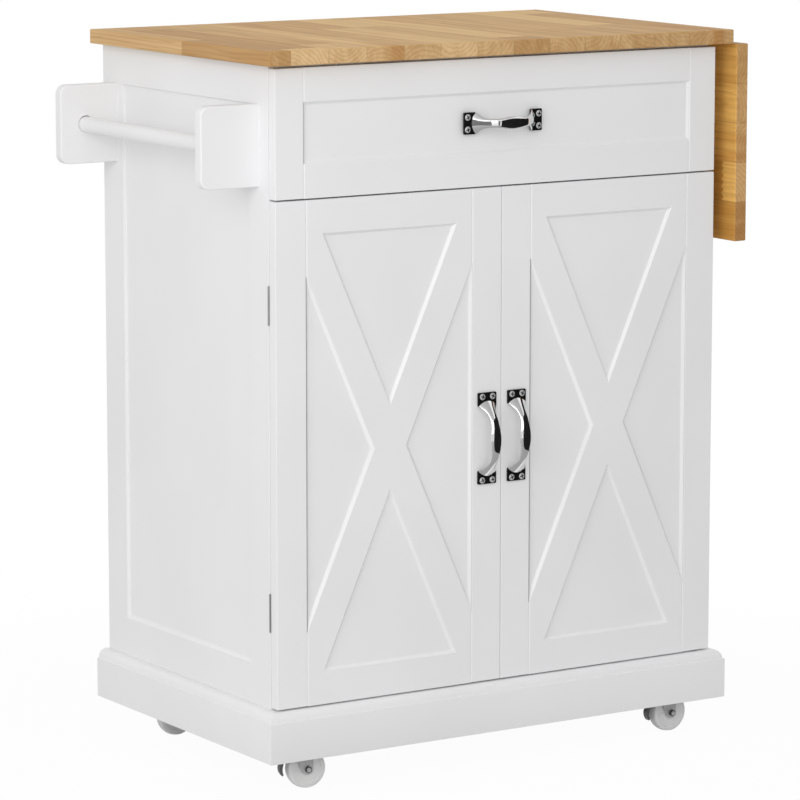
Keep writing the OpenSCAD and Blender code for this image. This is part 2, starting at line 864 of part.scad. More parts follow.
// The bow seen from the front, with rounded tips towards the screws
module bow_outline() {
    tip = foot_len - bow_tip;
    xs = [for (i = [-bow_steps : bow_steps]) i / bow_steps * (bow_half - tip / 2)];
    polygon(concat([for (x = xs) [x, bow_half_w(x)]],
                   [[bow_half - tip / 5, bow_half_w(bow_half) / 2], [bow_half, 0],
                    [bow_half - tip / 5, -bow_half_w(bow_half) / 2]],
                   [for (x = xs) [-x, -bow_half_w(x)]],
                   [[-bow_half + tip / 5, -bow_half_w(bow_half) / 2], [-bow_half, 0],
                    [-bow_half + tip / 5, bow_half_w(bow_half) / 2]]));
}

// The bow seen from its side
module bow_arch() {
    inner_half = bow_half - 1.6 * bow_t;
    outer = [for (i = [-bow_steps : bow_steps]) let (x = i / bow_steps * bow_half)
             [x, max(foot_t, arch_h(x, bow_half, pull_reach))]];
    inner = [for (i = [bow_steps : -1 : -bow_steps]) let (x = i / bow_steps * inner_half)
             [x, arch_h(x, inner_half, pull_reach - bow_t)]];
    polygon(concat([[-bow_half, 0]], outer, [[bow_half, 0]], inner));
}

// A pull's four screws, drawn wider by fit where they cut their own holes
module pull_screws(fit) {
    for (side = [-1, 1], row = [-1, 1])
        translate([side * (pull_len / 2 - pull_screw_from_end), row * pull_screw_span / 2, 0]) {
            translate([0, 0, foot_t - pull_screw_len - fit])
                cylinder(h = pull_screw_len + fit + (fit > 0 ? cut : 0), r = pull_screw_r + fit,
                         $fn = 24);
            if (fit == 0) translate([0, 0, foot_t]) intersection() {
                cylinder(h = pull_head_t, r = pull_head_r, $fn = 32);
                translate([0, 0, pull_head_t - 2 * pull_head_r])
                    sphere(r = 2 * pull_head_r, $fn = 64);
            }
        }
}

module drawer_pull_place() {
    translate([0, 0, drawer_pull_z]) on_front(face_y) children();
}

// The right door's pull stands upright on the stile beside the door gap
module door_pull_place() {
    translate([door_pull_x, 0, door_pull_z]) on_front(face_y) rotate([0, 0, 90]) children();
}

module drawer_pull() {
    color("gainsboro") placed() drawer_pull_place() pull();
}

module drawer_pull_screws() {
    color("silver") placed() drawer_pull_place() pull_screws(0);
}

module door_left_pull() {
    color("gainsboro") placed() mirrored(true) door_pull_place() pull();
}

module door_right_pull() {
    color("gainsboro") placed() door_pull_place() pull();
}

module door_left_pull_screws() {
    color("silver") placed() mirrored(true) door_pull_place() pull_screws(0);
}

module door_right_pull_screws() {
    color("silver") placed() door_pull_place() pull_screws(0);
}

// ---------------------------------------------------------------- leaf and its hinges

module drop_leaf() {
    color("burlywood") placed() eased_block([leaf_in_x, 0, leaf_bottom_z],
                                            [leaf_out_x, top_d, leaf_top_z], wood_edge_r);
}

// Puts a hinge drawn along Z, with X outwards and Y down, at each leaf hinge's place
module at_leaf_hinges() {
    for (i = [0.5 : leaf_hinges - 0.5])
        translate([leaf_axis_x, top_d * (i + 0.5) / (leaf_hinges + 1), leaf_axis_z])
            rotate([-90, 0, 0]) children();
}

module leaf_hinge_half(first, bore_r, strap_low, strap_high, plate_low, plate_high) {
    difference() {
        union() {
            knuckles(leaf_hinge_len, leaf_knuckles, first, leaf_barrel_r, bore_r);
            straps(leaf_hinge_len, leaf_knuckles, first, strap_low, strap_high);
            block([plate_low[0], plate_low[1], -leaf_hinge_len / 2],
                  [plate_high[0], plate_high[1], leaf_hinge_len / 2]);
        }
        translate([0, 0, -leaf_hinge_len / 2 - cut])
            cylinder(h = leaf_hinge_len + 2 * cut, r = bore_r, $fn = 32);
    }
}

module leaf_hinge_top_plates() {
    plate_end = -leaf_barrel_r - plate_end_gap;
    plate_start = side_x + top_plate_gap - leaf_axis_x;
    color("silver") placed() at_leaf_hinges()
        leaf_hinge_half(0, leaf_pin_r + seat_fit,
                        [plate_end - cut, -leaf_barrel_r - plate_end_gap / 2],
                        [0, leaf_hinge_t - pin_drop],
                        [plate_start, -pin_drop], [plate_end, leaf_hinge_t - pin_drop]);
}

module leaf_hinge_leaf_plates() {
    plate_end = leaf_barrel_r + plate_end_gap;
    color("silver") placed() at_leaf_hinges()
        leaf_hinge_half(1, leaf_pin_r + pin_fit,
                        [pin_drop - leaf_hinge_t, 0],
                        [leaf_barrel_r + plate_end_gap / 2, plate_end + cut],
                        [pin_drop - leaf_hinge_t, plate_end],
                        [pin_drop, plate_end + leaf_hinge_w]);
}

module leaf_hinge_pins() {
    color("silver") placed() at_leaf_hinges() translate([0, 0, -leaf_hinge_len / 2])
        cylinder(h = leaf_hinge_len, r = leaf_pin_r, $fn = 32);
}

// ---------------------------------------------------------------- folding brackets

// The wall arm, a channel on the side panel's stile that the shoe runs in
module bracket_wall_arms() {
    low_z = shoe_z - shoe_r - channel_end / 4;
    high_z = shoe_up_z + shoe_r + channel_end;
    color("gainsboro") placed() for (y = bracket_y) difference() {
        block([side_x, y - channel_half_w, low_z], [side_x + channel_reach, y + channel_half_w, high_z]);
        block([side_x + sheet_t, y - channel_half_w + sheet_t, low_z - cut],
              [side_x + channel_reach + cut, y + channel_half_w - sheet_t, high_z + cut]);
    }
}

// The leaf arm: a strip on the leaf with two ears and the rivet that the strut turns on
module bracket_leaf_arms() {
    strip_x = leaf_in_x - sheet_t;
    color("gainsboro") placed() for (y = bracket_y) {
        block([strip_x, y - arm_half_w, pivot_z - arm_end],
              [leaf_in_x, y + arm_half_w, leaf_axis_z - arm_start]);
        for (side = [-1, 1])
            translate([0, y + side * (ear_in + sheet_t / 2) + sheet_t / 2, 0]) rotate([90, 0, 0])
                linear_extrude(sheet_t) {
                    translate([pivot_x, pivot_z]) circle(strut_w / 2);
                    translate([pivot_x, pivot_z - strut_w / 2])
                        square([leaf_in_x - pivot_x, strut_w]);
                }
        translate([pivot_x, y, pivot_z]) rotate([90, 0, 0]) {
            cylinder(h = 2 * (ear_in + sheet_t), r = rivet_r, center = true);
            for (side = [-1, 1]) translate([0, 0, side * (ear_in + sheet_t + rivet_head_t / 2)])
                cylinder(h = rivet_head_t, r = rivet_head_r, center = true);
        }
    }
}

// The struts, each with a shoe that seats on the wall arm when the leaf is up or down
module bracket_struts() {
    color("gainsboro") placed() for (y = bracket_y) translate([pivot_x, y, pivot_z])
        rotate([90, 0, 0]) difference() {
            union() {
                translate([0, 0, -strut_t / 2]) linear_extrude(strut_t) {
                    circle(strut_w / 2);
                    translate([-strut_w / 2, -strut_len]) square([strut_w, strut_len]);
                }
                translate([0, -strut_len, -shoe_half_w]) cylinder(h = 2 * shoe_half_w, r = shoe_r);
            }
            translate([0, 0, -strut_t]) cylinder(h = 2 * strut_t, r = rivet_r + pin_fit);
        }
}

// ---------------------------------------------------------------- casters

module at_caster_screws() {
    for (side = [-1, 1], y = caster_y, a = [-1, 1], b = [-1, 1])
        translate([side * caster_x + a * caster_screw[0], y + b * caster_screw[1], caster_h])
            children();
}

module caster_plates() {
    color("silver") placed() difference() {
        for (side = [-1, 1], y = caster_y) translate([side * caster_x, y, caster_h]) {
            translate([0, 0, -caster_plate[2] / 2]) cube(caster_plate, center = true);
            translate([0, 0, -caster_plate[2] - race_h]) cylinder(h = race_h, r = race_r);
        }
        for (side = [-1, 1], y = caster_y)
            translate([side * caster_x, y, caster_h - caster_plate[2] - race_h - cut])
                cylinder(h = caster_plate[2] + race_h + 2 * cut, r = kingpin_r + pin_fit);
        at_caster_screws() translate([0, 0, -caster_plate[2] - cut])
            cylinder(h = caster_plate[2] + 2 * cut, r = caster_screw_r + screw_hole_fit, $fn = 24);
    }
}

module caster_screws() {
    color("silver") placed() at_caster_screws() translate([0, 0, -caster_plate[2]]) {
        cylinder(h = caster_screw_len, r = caster_screw_r, $fn = 24);
        translate([0, 0, -caster_head_t]) cylinder(h = caster_head_t, r = caster_head_r, $fn = 24);
    }
}

// A caster's own drawing has its swivel axis at X = 0 and its axle at X = caster_trail
module caster_fork(braked) {
    shoulder = caster_trail + fork_foot_r;
    translate([0, 0, crown_z]) cylinder(h = crown_t, r = crown_r);
    translate([0, 0, crown_z]) cylinder(h = caster_h - rest_gap - crown_z, r = kingpin_r);
    for (side = [-1, 1]) translate([0, side * (fork_in + fork_t / 2) + fork_t / 2, 0])
        rotate([90, 0, 0]) linear_extrude(fork_t) {
            translate([caster_trail, wheel_r]) circle(fork_foot_r);
            polygon([[caster_trail - fork_foot_r, wheel_r], [shoulder, wheel_r],
                     [shoulder, crown_z - fork_foot_r], [crown_r - 1, crown_top_z],
                     [1 - crown_r, crown_top_z], [1 - crown_r, crown_z]]);
        }
    caster_axle();
    if (braked) lever_pin();
}

// The axle bolt with its head behind and its nut in front
module caster_axle() {
    translate([caster_trail, 0, wheel_r]) rotate([90, 0, 0]) {
        cylinder(h = 2 * fork_out, r = axle_r, center = true);
        translate([0, 0, fork_out]) {
            cylinder(h = nut_t, r = nut_r, $fn = 6);
            cylinder(h = nut_t + axle_tip, r = axle_r);
        }
        translate([0, 0, -fork_out - nut_t]) cylinder(h = nut_t, r = nut_r, $fn = 6);
    }
}

// The pin between the fork's legs that a brake lever turns on
module lever_pin() {
    translate([caster_trail + lever_path[0][0], 0, wheel_r + lever_path[0][1]]) rotate([90, 0, 0])
        cylinder(h = 2 * fork_in + fork_t, r = lever_pin_r, center = true, $fn = 32);
}

module caster_wheel() {
    web_w = wheel_w - 2 * hub_dish;
    translate([caster_trail, 0, wheel_r]) rotate([90, 0, 0]) rotate_extrude() difference() {
        union() {
            translate([wheel_r - rim_w, -wheel_w / 2 + wheel_edge_r])
                square([rim_w, wheel_w - 2 * wheel_edge_r]);
            translate([wheel_r - rim_w - wheel_edge_r, -wheel_w / 2])
                square([rim_w, wheel_w]);
            for (side = [-1, 1])
                translate([wheel_r - wheel_edge_r, side * (wheel_w / 2 - wheel_edge_r)])
                    circle(wheel_edge_r, $fn = 32);
            translate([hub_r, -web_w / 2]) square([wheel_r - rim_w - hub_r, web_w]);
            translate([0, -wheel_w / 2]) square([hub_r, wheel_w]);
        }
        translate([-cut, -wheel_w]) square([axle_r + pin_fit + cut, 2 * wheel_w]);
    }
}

// A strap bent round the wheel's side, on a hub between the fork's legs
module brake_lever() {
    translate([caster_trail, 0, wheel_r]) rotate([90, 0, 0]) difference() {
        union() {
            translate([0, 0, -lever_half_w]) linear_extrude(2 * lever_half_w)
                for (i = [0 : len(lever_path) - 2]) lever_link(lever_path[i], lever_path[i + 1]);
            translate([lever_path[0][0], lever_path[0][1], -lever_hub_half_w])
                cylinder(h = 2 * lever_hub_half_w, r = lever_hub_r, $fn = 32);
        }
        translate([lever_path[0][0], lever_path[0][1], -2 * lever_hub_half_w])
            cylinder(h = 4 * lever_hub_half_w, r = lever_pin_r + pin_fit, $fn = 32);
    }
}

// One straight stretch of the strap, with round ends
module lever_link(from, to) {
    run = to - from;
    translate(from) rotate(atan2(run[1], run[0])) translate([0, -lever_t / 2])
        square([norm(run), lever_t]);
    for (p = [from, to]) translate(p) circle(lever_t / 2, $fn = 32);
}

// Puts a caster piece at one corner: side = -1 for the left, row = 0 for the front
module at_caster(side, row) {
    turn = side < 0 && row == 0 ? caster_turn : 0;
    placed() translate([side * caster_x, caster_y[row], 0]) rotate(turn) children();
}

module caster_fork_front_left() {
    color("silver") at_caster(-1, 0) caster_fork(true);
}

module caster_fork_front_right() {
    color("silver") at_caster(1, 0) caster_fork(true);
}

module caster_fork_rear_left() {
    color("silver") at_caster(-1, 1) caster_fork(false);
}

module caster_fork_rear_right() {
    color("silver") at_caster(1, 1) caster_fork(false);
}

module wheel_front_left() {
    color("gainsboro") at_caster(-1, 0) caster_wheel();
}

module wheel_front_right() {
    color("gainsboro") at_caster(1, 0) caster_wheel();
}

module wheel_rear_left() {
    color("gainsboro") at_caster(-1, 1) caster_wheel();
}

module wheel_rear_right() {
    color("gainsboro") at_caster(1, 1) caster_wheel();
}

module brake_lever_left() {
    color("dimgray") at_caster(-1, 0) brake_lever();
}

module brake_lever_right() {
    color("dimgray") at_caster(1, 0) brake_lever();
}

// ---------------------------------------------------------------- nodes

worktop();
side_panel_left();
side_panel_right();
back_panel();
bottom_panel();
divider_panel();
top_rails();
adjustable_shelf();
shelf_pins();
plinth_front();
plinth_left();
plinth_right();
plinth_back();
base_battens();
caster_plates();
caster_screws();
towel_bracket_front();
towel_bracket_rear();
towel_bar();
drawer_runners();
magnet_catches();
door_hinge_frame_leaves();
door_hinge_pins();
leaf_hinge_top_plates();
leaf_hinge_pins();
bracket_wall_arms();
drawer_front();
drawer_side_left();
drawer_side_right();
drawer_back();
drawer_bottom();
drawer_slides();
drawer_pull();
drawer_pull_screws();
door_left();
door_left_hinge_leaves();
door_left_strike();
door_left_pull();
door_left_pull_screws();
door_right();
door_right_hinge_leaves();
door_right_strike();
door_right_pull();
door_right_pull_screws();
drop_leaf();
leaf_hinge_leaf_plates();
bracket_leaf_arms();
bracket_struts();
caster_fork_front_left();
caster_fork_front_right();
caster_fork_rear_left();
caster_fork_rear_right();
wheel_front_left();
wheel_front_right();
wheel_rear_left();
wheel_rear_right();
brake_lever_left();
brake_lever_right();
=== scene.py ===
"""Dresses the drop leaf kitchen island: boards, mouldings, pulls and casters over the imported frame.

Lengths are metres in the frame's own axes: X along the front to the right, Y to the back, Z up.
"""

import json
import math

import bmesh
import bpy
from mathutils import Matrix, Vector

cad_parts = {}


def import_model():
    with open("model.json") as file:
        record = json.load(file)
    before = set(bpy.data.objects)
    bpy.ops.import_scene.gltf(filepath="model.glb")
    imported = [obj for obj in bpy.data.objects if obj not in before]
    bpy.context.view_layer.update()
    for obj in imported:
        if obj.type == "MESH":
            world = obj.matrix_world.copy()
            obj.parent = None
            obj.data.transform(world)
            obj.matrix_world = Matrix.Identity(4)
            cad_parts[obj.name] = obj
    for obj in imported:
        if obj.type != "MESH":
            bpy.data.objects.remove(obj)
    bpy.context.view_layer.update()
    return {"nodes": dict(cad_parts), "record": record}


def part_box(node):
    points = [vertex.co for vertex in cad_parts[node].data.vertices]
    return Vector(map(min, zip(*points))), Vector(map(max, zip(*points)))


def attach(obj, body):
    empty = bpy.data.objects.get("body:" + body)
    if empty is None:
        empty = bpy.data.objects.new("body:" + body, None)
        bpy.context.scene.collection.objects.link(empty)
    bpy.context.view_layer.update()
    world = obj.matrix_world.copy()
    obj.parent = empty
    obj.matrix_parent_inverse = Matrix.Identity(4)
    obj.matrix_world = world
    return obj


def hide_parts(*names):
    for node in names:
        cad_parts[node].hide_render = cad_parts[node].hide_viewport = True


MM = 0.001
TOUCH = 1e-6  # places closer than this are one place
QUARTER_TURN = math.pi / 2
LAID_ALONG_Y = Matrix.Rotation(QUARTER_TURN, 4, "X")


# ------------------ shader maths


class Value:
    """A socket in a material; arithmetic on it adds Math nodes."""

    def __init__(self, shader, socket):
        self.shader = shader
        self.socket = socket

    def maths(self, operation, *values):
        return self.shader.add("ShaderNodeMath", {"operation": operation}, dict(enumerate(values)))

    def __add__(self, other):
        return self.maths("ADD", self, other)

    def __sub__(self, other):
        return self.maths("SUBTRACT", self, other)

    def __rsub__(self, other):
        return self.maths("SUBTRACT", other, self)

    def __mul__(self, other):
        return self.maths("MULTIPLY", self, other)

    def __truediv__(self, other):
        return self.maths("DIVIDE", self, other)

    def __pow__(self, other):
        return self.maths("POWER", self, other)

    def floor(self):
        return self.maths("FLOOR", self)

    def fraction(self):
        return self.maths("FRACT", self)

    def zigzag(self, height):
        return self.maths("PINGPONG", self, height)

    def within(self, low, high):
        """0 below low, 1 above high and smooth in between."""
        settings = {"interpolation_type": "SMOOTHSTEP"}
        return self.shader.add("ShaderNodeMapRange", settings, {0: self, 1: low, 2: high})


class Shader:
    """A material being made, with one method that adds any node to it."""

    def __init__(self, name):
        self.material = bpy.data.materials.new(name)
        self.material.use_nodes = True
        self.tree = self.material.node_tree
        self.surface = self.tree.nodes["Principled BSDF"]

    def add(self, kind, settings=None, inputs=None, output=0):
        """Adds a node: its settings first, then the values or links of its sockets."""
        node = self.tree.nodes.new(kind)
        for name, setting in (settings or {}).items():
            setattr(node, name, setting)
        for key, value in (inputs or {}).items():
            self.feed(node.inputs[key], value)
        return Value(self, node.outputs[output])

    def feed(self, socket, value):
        if isinstance(value, Value):
            self.tree.links.new(value.socket, socket)
        else:
            socket.default_value = value

    def set(self, **sockets):
        """Feeds the surface's own sockets; base_color stands for Base Color."""
        for name, value in sockets.items():
            self.feed(self.surface.inputs[name.replace("_", " ").title()], value)
        return self

    def shine(self, level):
        """Sets how strong a non-metal's gloss is, and hands over the finished material."""
        self.surface.inputs["Specular IOR Level"].default_value = level
        return self.material

    def place(self):
        return self.add("ShaderNodeTexCoord", output="Object")

    def facing(self):
        return self.add("ShaderNodeTexCoord", output="Normal")

    def parts(self, vector):
        node = self.add("ShaderNodeSeparateXYZ", inputs={0: vector}).socket.node
        return [Value(self, socket) for socket in node.outputs]

    def vector(self, x, y, z):
        return self.add("ShaderNodeCombineXYZ", inputs={0: x, 1: y, 2: z})

    def noise(self, vector, scale, detail=3, roughness=0.5):
        inputs = {"Vector": vector, "Scale": scale, "Detail": detail, "Roughness": roughness}
        return self.add("ShaderNodeTexNoise", inputs=inputs)

    def chance(self, vector):
        """A random number that stays the same over each whole-numbered cell."""
        return self.add("ShaderNodeTexWhiteNoise", {"noise_dimensions": "3D"}, {"Vector": vector})

    def mix(self, factor, first, second, blend="MIX"):
        settings = {"data_type": "RGBA", "blend_type": blend}
        return self.add("ShaderNodeMix", settings, {0: factor, 6: first, 7: second}, output=2)

    def bump(self, height, strength, distance):
        inputs = {"Height": height, "Strength": strength, "Distance": distance}
        return self.add("ShaderNodeBump", inputs=inputs)


def srgb(red, green, blue):
    """A colour as it shows on screen, from 0 to 255, made linear."""
    shares = [value / 255 for value in (red, green, blue)]
    linear = [s / 12.92 if s < 0.04045 else ((s + 0.055) / 1.055) ** 2.4 for s in shares]
    return (*linear, 1.0)


# ------------------ finishes

PAINT_TONES = (srgb(238, 238, 238), srgb(241, 241, 242))
PAINT_ROUGHNESS = 0.40
PEEL_DEPTH = 0.1 * MM


def white_paint():
    """Satin paint on board: a faint roller texture under an even white."""
    shader = Shader("white_paint")
    place = shader.place()
    patches = shader.noise(place, scale=5, detail=2)
    peel = shader.noise(place, scale=900, detail=2)
    shader.set(
        base_color=shader.mix(patches.within(0.3, 0.7), *PAINT_TONES),
        roughness=patches * 0.08 + PAINT_ROUGHNESS,
        normal=shader.bump(peel, strength=0.06, distance=PEEL_DEPTH),
    )
    return shader.material


def grain(shader, axes, per_m, detail, roughness=0.5, seed=0):
    """Noise drawn out with the wood; per_m is its scale across, along and through a board."""
    side, along, deep = (axis * scale for axis, scale in zip(axes, per_m))
    return shader.noise(shader.vector(side, along, deep + seed), 1, detail, roughness)


STAVE_W = 53.1 * MM
FIRST_STAVE_W = 29.6 * MM
LEAF_STAVE_W = 50.4 * MM
PIECE_LENGTH = 360 * MM
FINGER_W = 4.6 * MM
FINGER_DEPTH = 5 * MM
BEFORE_FIRST_PIECE = 2.0
SEAM_SHARE = 0.012

RING_PITCH = 5.4 * MM
RING_WAVER = 12 * MM
HEART_REACH_SIDE = 70 * MM
HEART_REACH_DEEP = 80 * MM
HEART_CLEARANCE = 18 * MM
HEART_SWAY_SIDE = 30 * MM
HEART_SWAY_DEEP = 12 * MM
SWAYS_PER_M = 2.2
LATE_WOOD_COMES = (0.3, 0.85)
LATE_WOOD_GOES = (0.88, 1.0)

# The noises in the wood: their scales per metre across, along and through a board
FIBRES = (700, 9, 700)
PORES = (620, 13, 620)
STREAKS = (110, 2.4, 60)
WARM_PATCHES = (16, 2.6, 0)
RING_WAVES = (40, 4, 40)

# Numbers that keep each random choice apart from the others
SHIFT_SEED = (7.3, 1.7)
TONE_SEED = 3.1
LOG_SIDE_SEED = 5.9
LOG_DEEP_SEED = 8.3
SWAY_SEED = 4.0


class Staves:
    """Where a place on a butcher-block board lies: in which stave, piece of stave and log.

    The staves run along Y. across and through are the axes over the staves and through the board,
    0 for X and 2 for Z. start is where the first stave begins.
    """

    def __init__(self, shader, node, across, through, stave_w, start):
        self.shader = shader
        axes = shader.parts(shader.place())
        side, along, deep = self.axes = (axes[across], axes[1], axes[through])
        low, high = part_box(node)
        self.count = (side - start) / stave_w
        self.stave = self.count.floor()
        self.in_stave = side - start - (self.stave + 0.5) * stave_w
        self.in_board = deep - (low[through] + high[through]) / 2
        shift = shader.chance(shader.vector(self.stave, *SHIFT_SEED)) * PIECE_LENGTH
        fingers = (side / FINGER_W).zigzag(1) * FINGER_DEPTH
        self.piece = ((along + shift + fingers + BEFORE_FIRST_PIECE) / PIECE_LENGTH).floor()

    def chance(self, seed):
        """A random number for each piece of stave."""
        return self.shader.chance(self.shader.vector(self.stave, self.piece, seed))

    def grain(self, per_m, detail, roughness=0.5, seed=0):
        return grain(self.shader, self.axes, per_m, detail, roughness, seed)

    def late_wood(self):
        """Growth rings round the log's heart, which lies near the stave and sways along it."""
        along = self.axes[1]
        log_side = self.chance(LOG_SIDE_SEED) - 0.5
        log_deep = self.chance(LOG_DEEP_SEED) - 0.5
        wander = self.shader.vector(self.stave * 3 + self.piece, along * SWAYS_PER_M, SWAY_SEED)
        sway = self.shader.noise(wander, 1, 2) - 0.5
        waver = self.grain(RING_WAVES, 2, seed=self.stave) - 0.5
        outside = log_deep.maths("SIGN", log_deep) * HEART_CLEARANCE
        side = self.in_stave - log_side * HEART_REACH_SIDE + sway * HEART_SWAY_SIDE
        deep = self.in_board + log_deep * HEART_REACH_DEEP + outside + sway * HEART_SWAY_DEEP
        radius = (side * side + deep * deep) ** 0.5 + waver * RING_WAVER
        ring = (radius / RING_PITCH).fraction()
        return ring.within(*LATE_WOOD_COMES) * (1 - ring.within(*LATE_WOOD_GOES))

    def seams(self):
        """1 in the glue lines between the staves and 0 elsewhere."""
        share = self.count.fraction()
        return 1 - share.within(0.0, SEAM_SHARE) * (1 - share.within(1 - SEAM_SHARE, 1.0))


LIGHT_WOOD = srgb(232, 196, 144)
DARK_WOOD = srgb(190, 146, 92)
WARM_WOOD = srgb(186, 130, 70)
LATE_WOOD = srgb(150, 104, 56)
GLUE_LINE = srgb(120, 82, 46)
WOOD_ROUGHNESS = 0.46
WOOD_SHINE = 0.2
PORE_DEPTH = 0.2 * MM
NO_TINT = (1.0, 1.0, 1.0, 1.0)
UPPER_TINT = (1.05, 1.01, 0.80, 1.0)
WORKTOP_END_TINT = (0.96, 0.97, 1.0, 1.0)
# The leaf's inner face, towards the cabinet: painted shade with warm bounce light, warmer and less
# blue
LEAF_PAINTED_SHADE_TINT = (1.14, 0.99, 0.55, 1.0)
LEAF_END_TINT = (0.83, 0.75, 0.63, 1.0)
TINT_COMES = (0.2, 0.9)


def tinted(shader, colour, through, upper_tint, under_painted_shade, end_tint):
    """Tints the upper face and the ends of a board by how they face; the under face's tint, where a
    board is given one, is painted shade with warm bounce light.
    """
    facing = shader.parts(shader.facing())
    upper, under = facing[through], 0 - facing[through]
    colour = shader.mix(upper.within(*TINT_COMES), colour, upper_tint, "MULTIPLY")
    # Painted shade with warm bounce light on the faces that look the other way
    colour = shader.mix(under.within(*TINT_COMES), colour, under_painted_shade, "MULTIPLY")
    return shader.mix(facing[1] ** 2, colour, end_tint, "MULTIPLY")


def butcher_block(name, node, across, through, stave_w, start, tints):
    """Staves of oiled wood, glued side by side, each sawn from a log of its own."""
    shader = Shader(name)
    staves = Staves(shader, node, across, through, stave_w, start)
    late_wood = staves.late_wood()
    fibres = staves.grain(FIBRES, 3, 0.6)
    pores = staves.grain(PORES, 1).within(0.6, 0.74)
    streaks = staves.grain(STREAKS, 3, 0.6, seed=staves.stave)
    warmth = staves.grain(WARM_PATCHES, 2, seed=staves.stave * 5).within(0.56, 0.74)
    shade = staves.chance(TONE_SEED) * 0.34 + streaks * 0.46 + fibres * 0.2
    colour = shader.mix(shade.within(0.28, 0.72), DARK_WOOD, LIGHT_WOOD)
    colour = shader.mix(warmth * 0.7, colour, WARM_WOOD)
    colour = shader.mix(late_wood * 0.22 + pores * 0.34, colour, LATE_WOOD)
    colour = tinted(shader, colour, through, *tints)
    relief = late_wood * 0.3 + fibres * 0.5 - pores
    shader.set(
        base_color=shader.mix(staves.seams() * 0.45, colour, GLUE_LINE),
        roughness=fibres * 0.14 + WOOD_ROUGHNESS,
        normal=shader.bump(relief, strength=0.12, distance=PORE_DEPTH),
    )
    return shader.shine(WOOD_SHINE)


def worktop_wood():
    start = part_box("worktop")[0][0] + FIRST_STAVE_W - STAVE_W
    tints = (UPPER_TINT, NO_TINT, WORKTOP_END_TINT)
    return butcher_block("worktop_wood", "worktop", 0, 2, STAVE_W, start, tints)


def leaf_wood():
    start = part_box("drop_leaf")[0][2]
    tints = (UPPER_TINT, LEAF_PAINTED_SHADE_TINT, LEAF_END_TINT)
    return butcher_block("leaf_wood", "drop_leaf", 2, 0, LEAF_STAVE_W, start, tints)


RAW_TONES = (srgb(205, 178, 138), srgb(226, 204, 168))


def raw_wood(name, grain_axis):
    """Plain softwood for the drawer's box, with its grain along one axis, 0 for X and 1 for Y."""
    shader = Shader(name)
    axes = shader.parts(shader.place())
    board = (axes[1 - grain_axis], axes[grain_axis], axes[2])
    streaks = grain(shader, board, (60, 6, 60), 4, 0.6)
    fibres = grain(shader, board, (700, 30, 700), 2)
    shader.set(
        base_color=shader.mix(streaks.within(0.3, 0.7), *RAW_TONES),
        roughness=fibres * 0.15 + 0.5,
        normal=shader.bump(fibres, strength=0.15, distance=PORE_DEPTH),
    )
    return shader.material


FINE_GRAIN = 0.05 * MM


def bright_metal(name, tone, roughness, spread, metallic):
    """Plated steel, with the slight unevenness of a plated surface."""
    shader = Shader(name)
    place = shader.place()
    clouds = shader.noise(place, scale=90, detail=3)
    scratches = shader.noise(place, scale=1400, detail=2)
    low = (tone * 0.9, tone * 0.9, tone * 0.9, 1.0)
    high = (tone, tone, tone * 1.01, 1.0)
    shader.set(
        base_color=shader.mix(clouds, low, high),
        metallic=metallic,
        roughness=clouds * spread + roughness,
        normal=shader.bump(scratches, strength=0.04, distance=FINE_GRAIN),
    )
    return shader.material


def moulded_plastic(name, low, high, roughness):
    """Moulded plastic with a very fine grain."""
    shader = Shader(name)
    place = shader.place()
    clouds = shader.noise(place, scale=40, detail=2)
    pits = shader.noise(place, scale=2500, detail=1)
    shader.set(
        base_color=shader.mix(clouds, low, high),
        roughness=clouds * 0.1 + roughness,
        normal=shader.bump(pits, strength=0.08, distance=FINE_GRAIN),
    )
    return shader.material


PLATE_BLACK_TONES = (srgb(10, 10, 11), srgb(22, 22, 23))
PLATE_SHINE = 0.2


def black_plate():
    """The pulls' feet, black with a faint gloss."""
    shader = Shader("black_plate")
    clouds = shader.noise(shader.place(), scale=200, detail=3)
    shader.set(
        base_color=shader.mix(clouds, *PLATE_BLACK_TONES),
        roughness=clouds * 0.12 + 0.34,
    )
    return shader.shine(PLATE_SHINE)


# Each metal's tone, roughness, spread of roughness and share of metal
METALS = {
    "pull_metal": (0.86, 0.04, 0.05, 1.0),
    "bright_screws": (0.66, 0.3, 0.1, 0.4),
    "zinc_steel": (0.62, 0.26, 0.16, 1.0),
    "caster_steel": (0.5, 0.4, 0.14, 0.5),
    # Painted shade: the door hinges are darkened for the shadow in the gap beside the door
    "hinge_painted_shade": (0.32, 0.34, 0.1, 1.0),
    # Painted shade: the caster nuts are near black for the shadowed gap round them
    "nut_painted_shade": (0.08, 0.3, 0.12, 1.0),
}
# Each plastic's two tones and its roughness
PLASTICS = {
    "brake_steel": (srgb(80, 80, 82), srgb(96, 96, 98), 0.45),
    "wheel_plastic": (srgb(224, 224, 223), srgb(232, 232, 231), 0.42),
    "catch_plastic": (srgb(224, 224, 222), srgb(234, 234, 233), 0.4),
}


def all_finishes():
    """The finishes by the record's slot names, and the few that only some pieces use."""
    return {
        "white_paint": white_paint(),
        "butcher_block": worktop_wood(),
        "leaf_wood": leaf_wood(),
        "drawer_box_wood": raw_wood("drawer_box_wood", 1),
        "drawer_back_wood": raw_wood("drawer_back_wood", 0),
        "black_plate": black_plate(),
        **{name: bright_metal(name, *look) for name, look in METALS.items()},
        **{name: moulded_plastic(name, *look) for name, look in PLASTICS.items()},
    }


# ------------------ mesh helpers

SMOOTH_ANGLE = math.radians(40)
SHARP_ANGLE = 1.2
FACES_ALONG = 0.999
SAME_LEVEL = 1e-5


def bevel(shape, edges, width, segments=3):
    bmesh.ops.bevel(shape, geom=edges, offset=width, affect="EDGES", segments=segments,
                    profile=0.5, material=-1, clamp_overlap=True)


def round_corner(shape, corner, radius, segments):
    """Rounds one corner of a flat outline."""
    bmesh.ops.bevel(shape, geom=[corner], offset=radius, affect="VERTICES", segments=segments,
                    profile=0.5, material=-1)


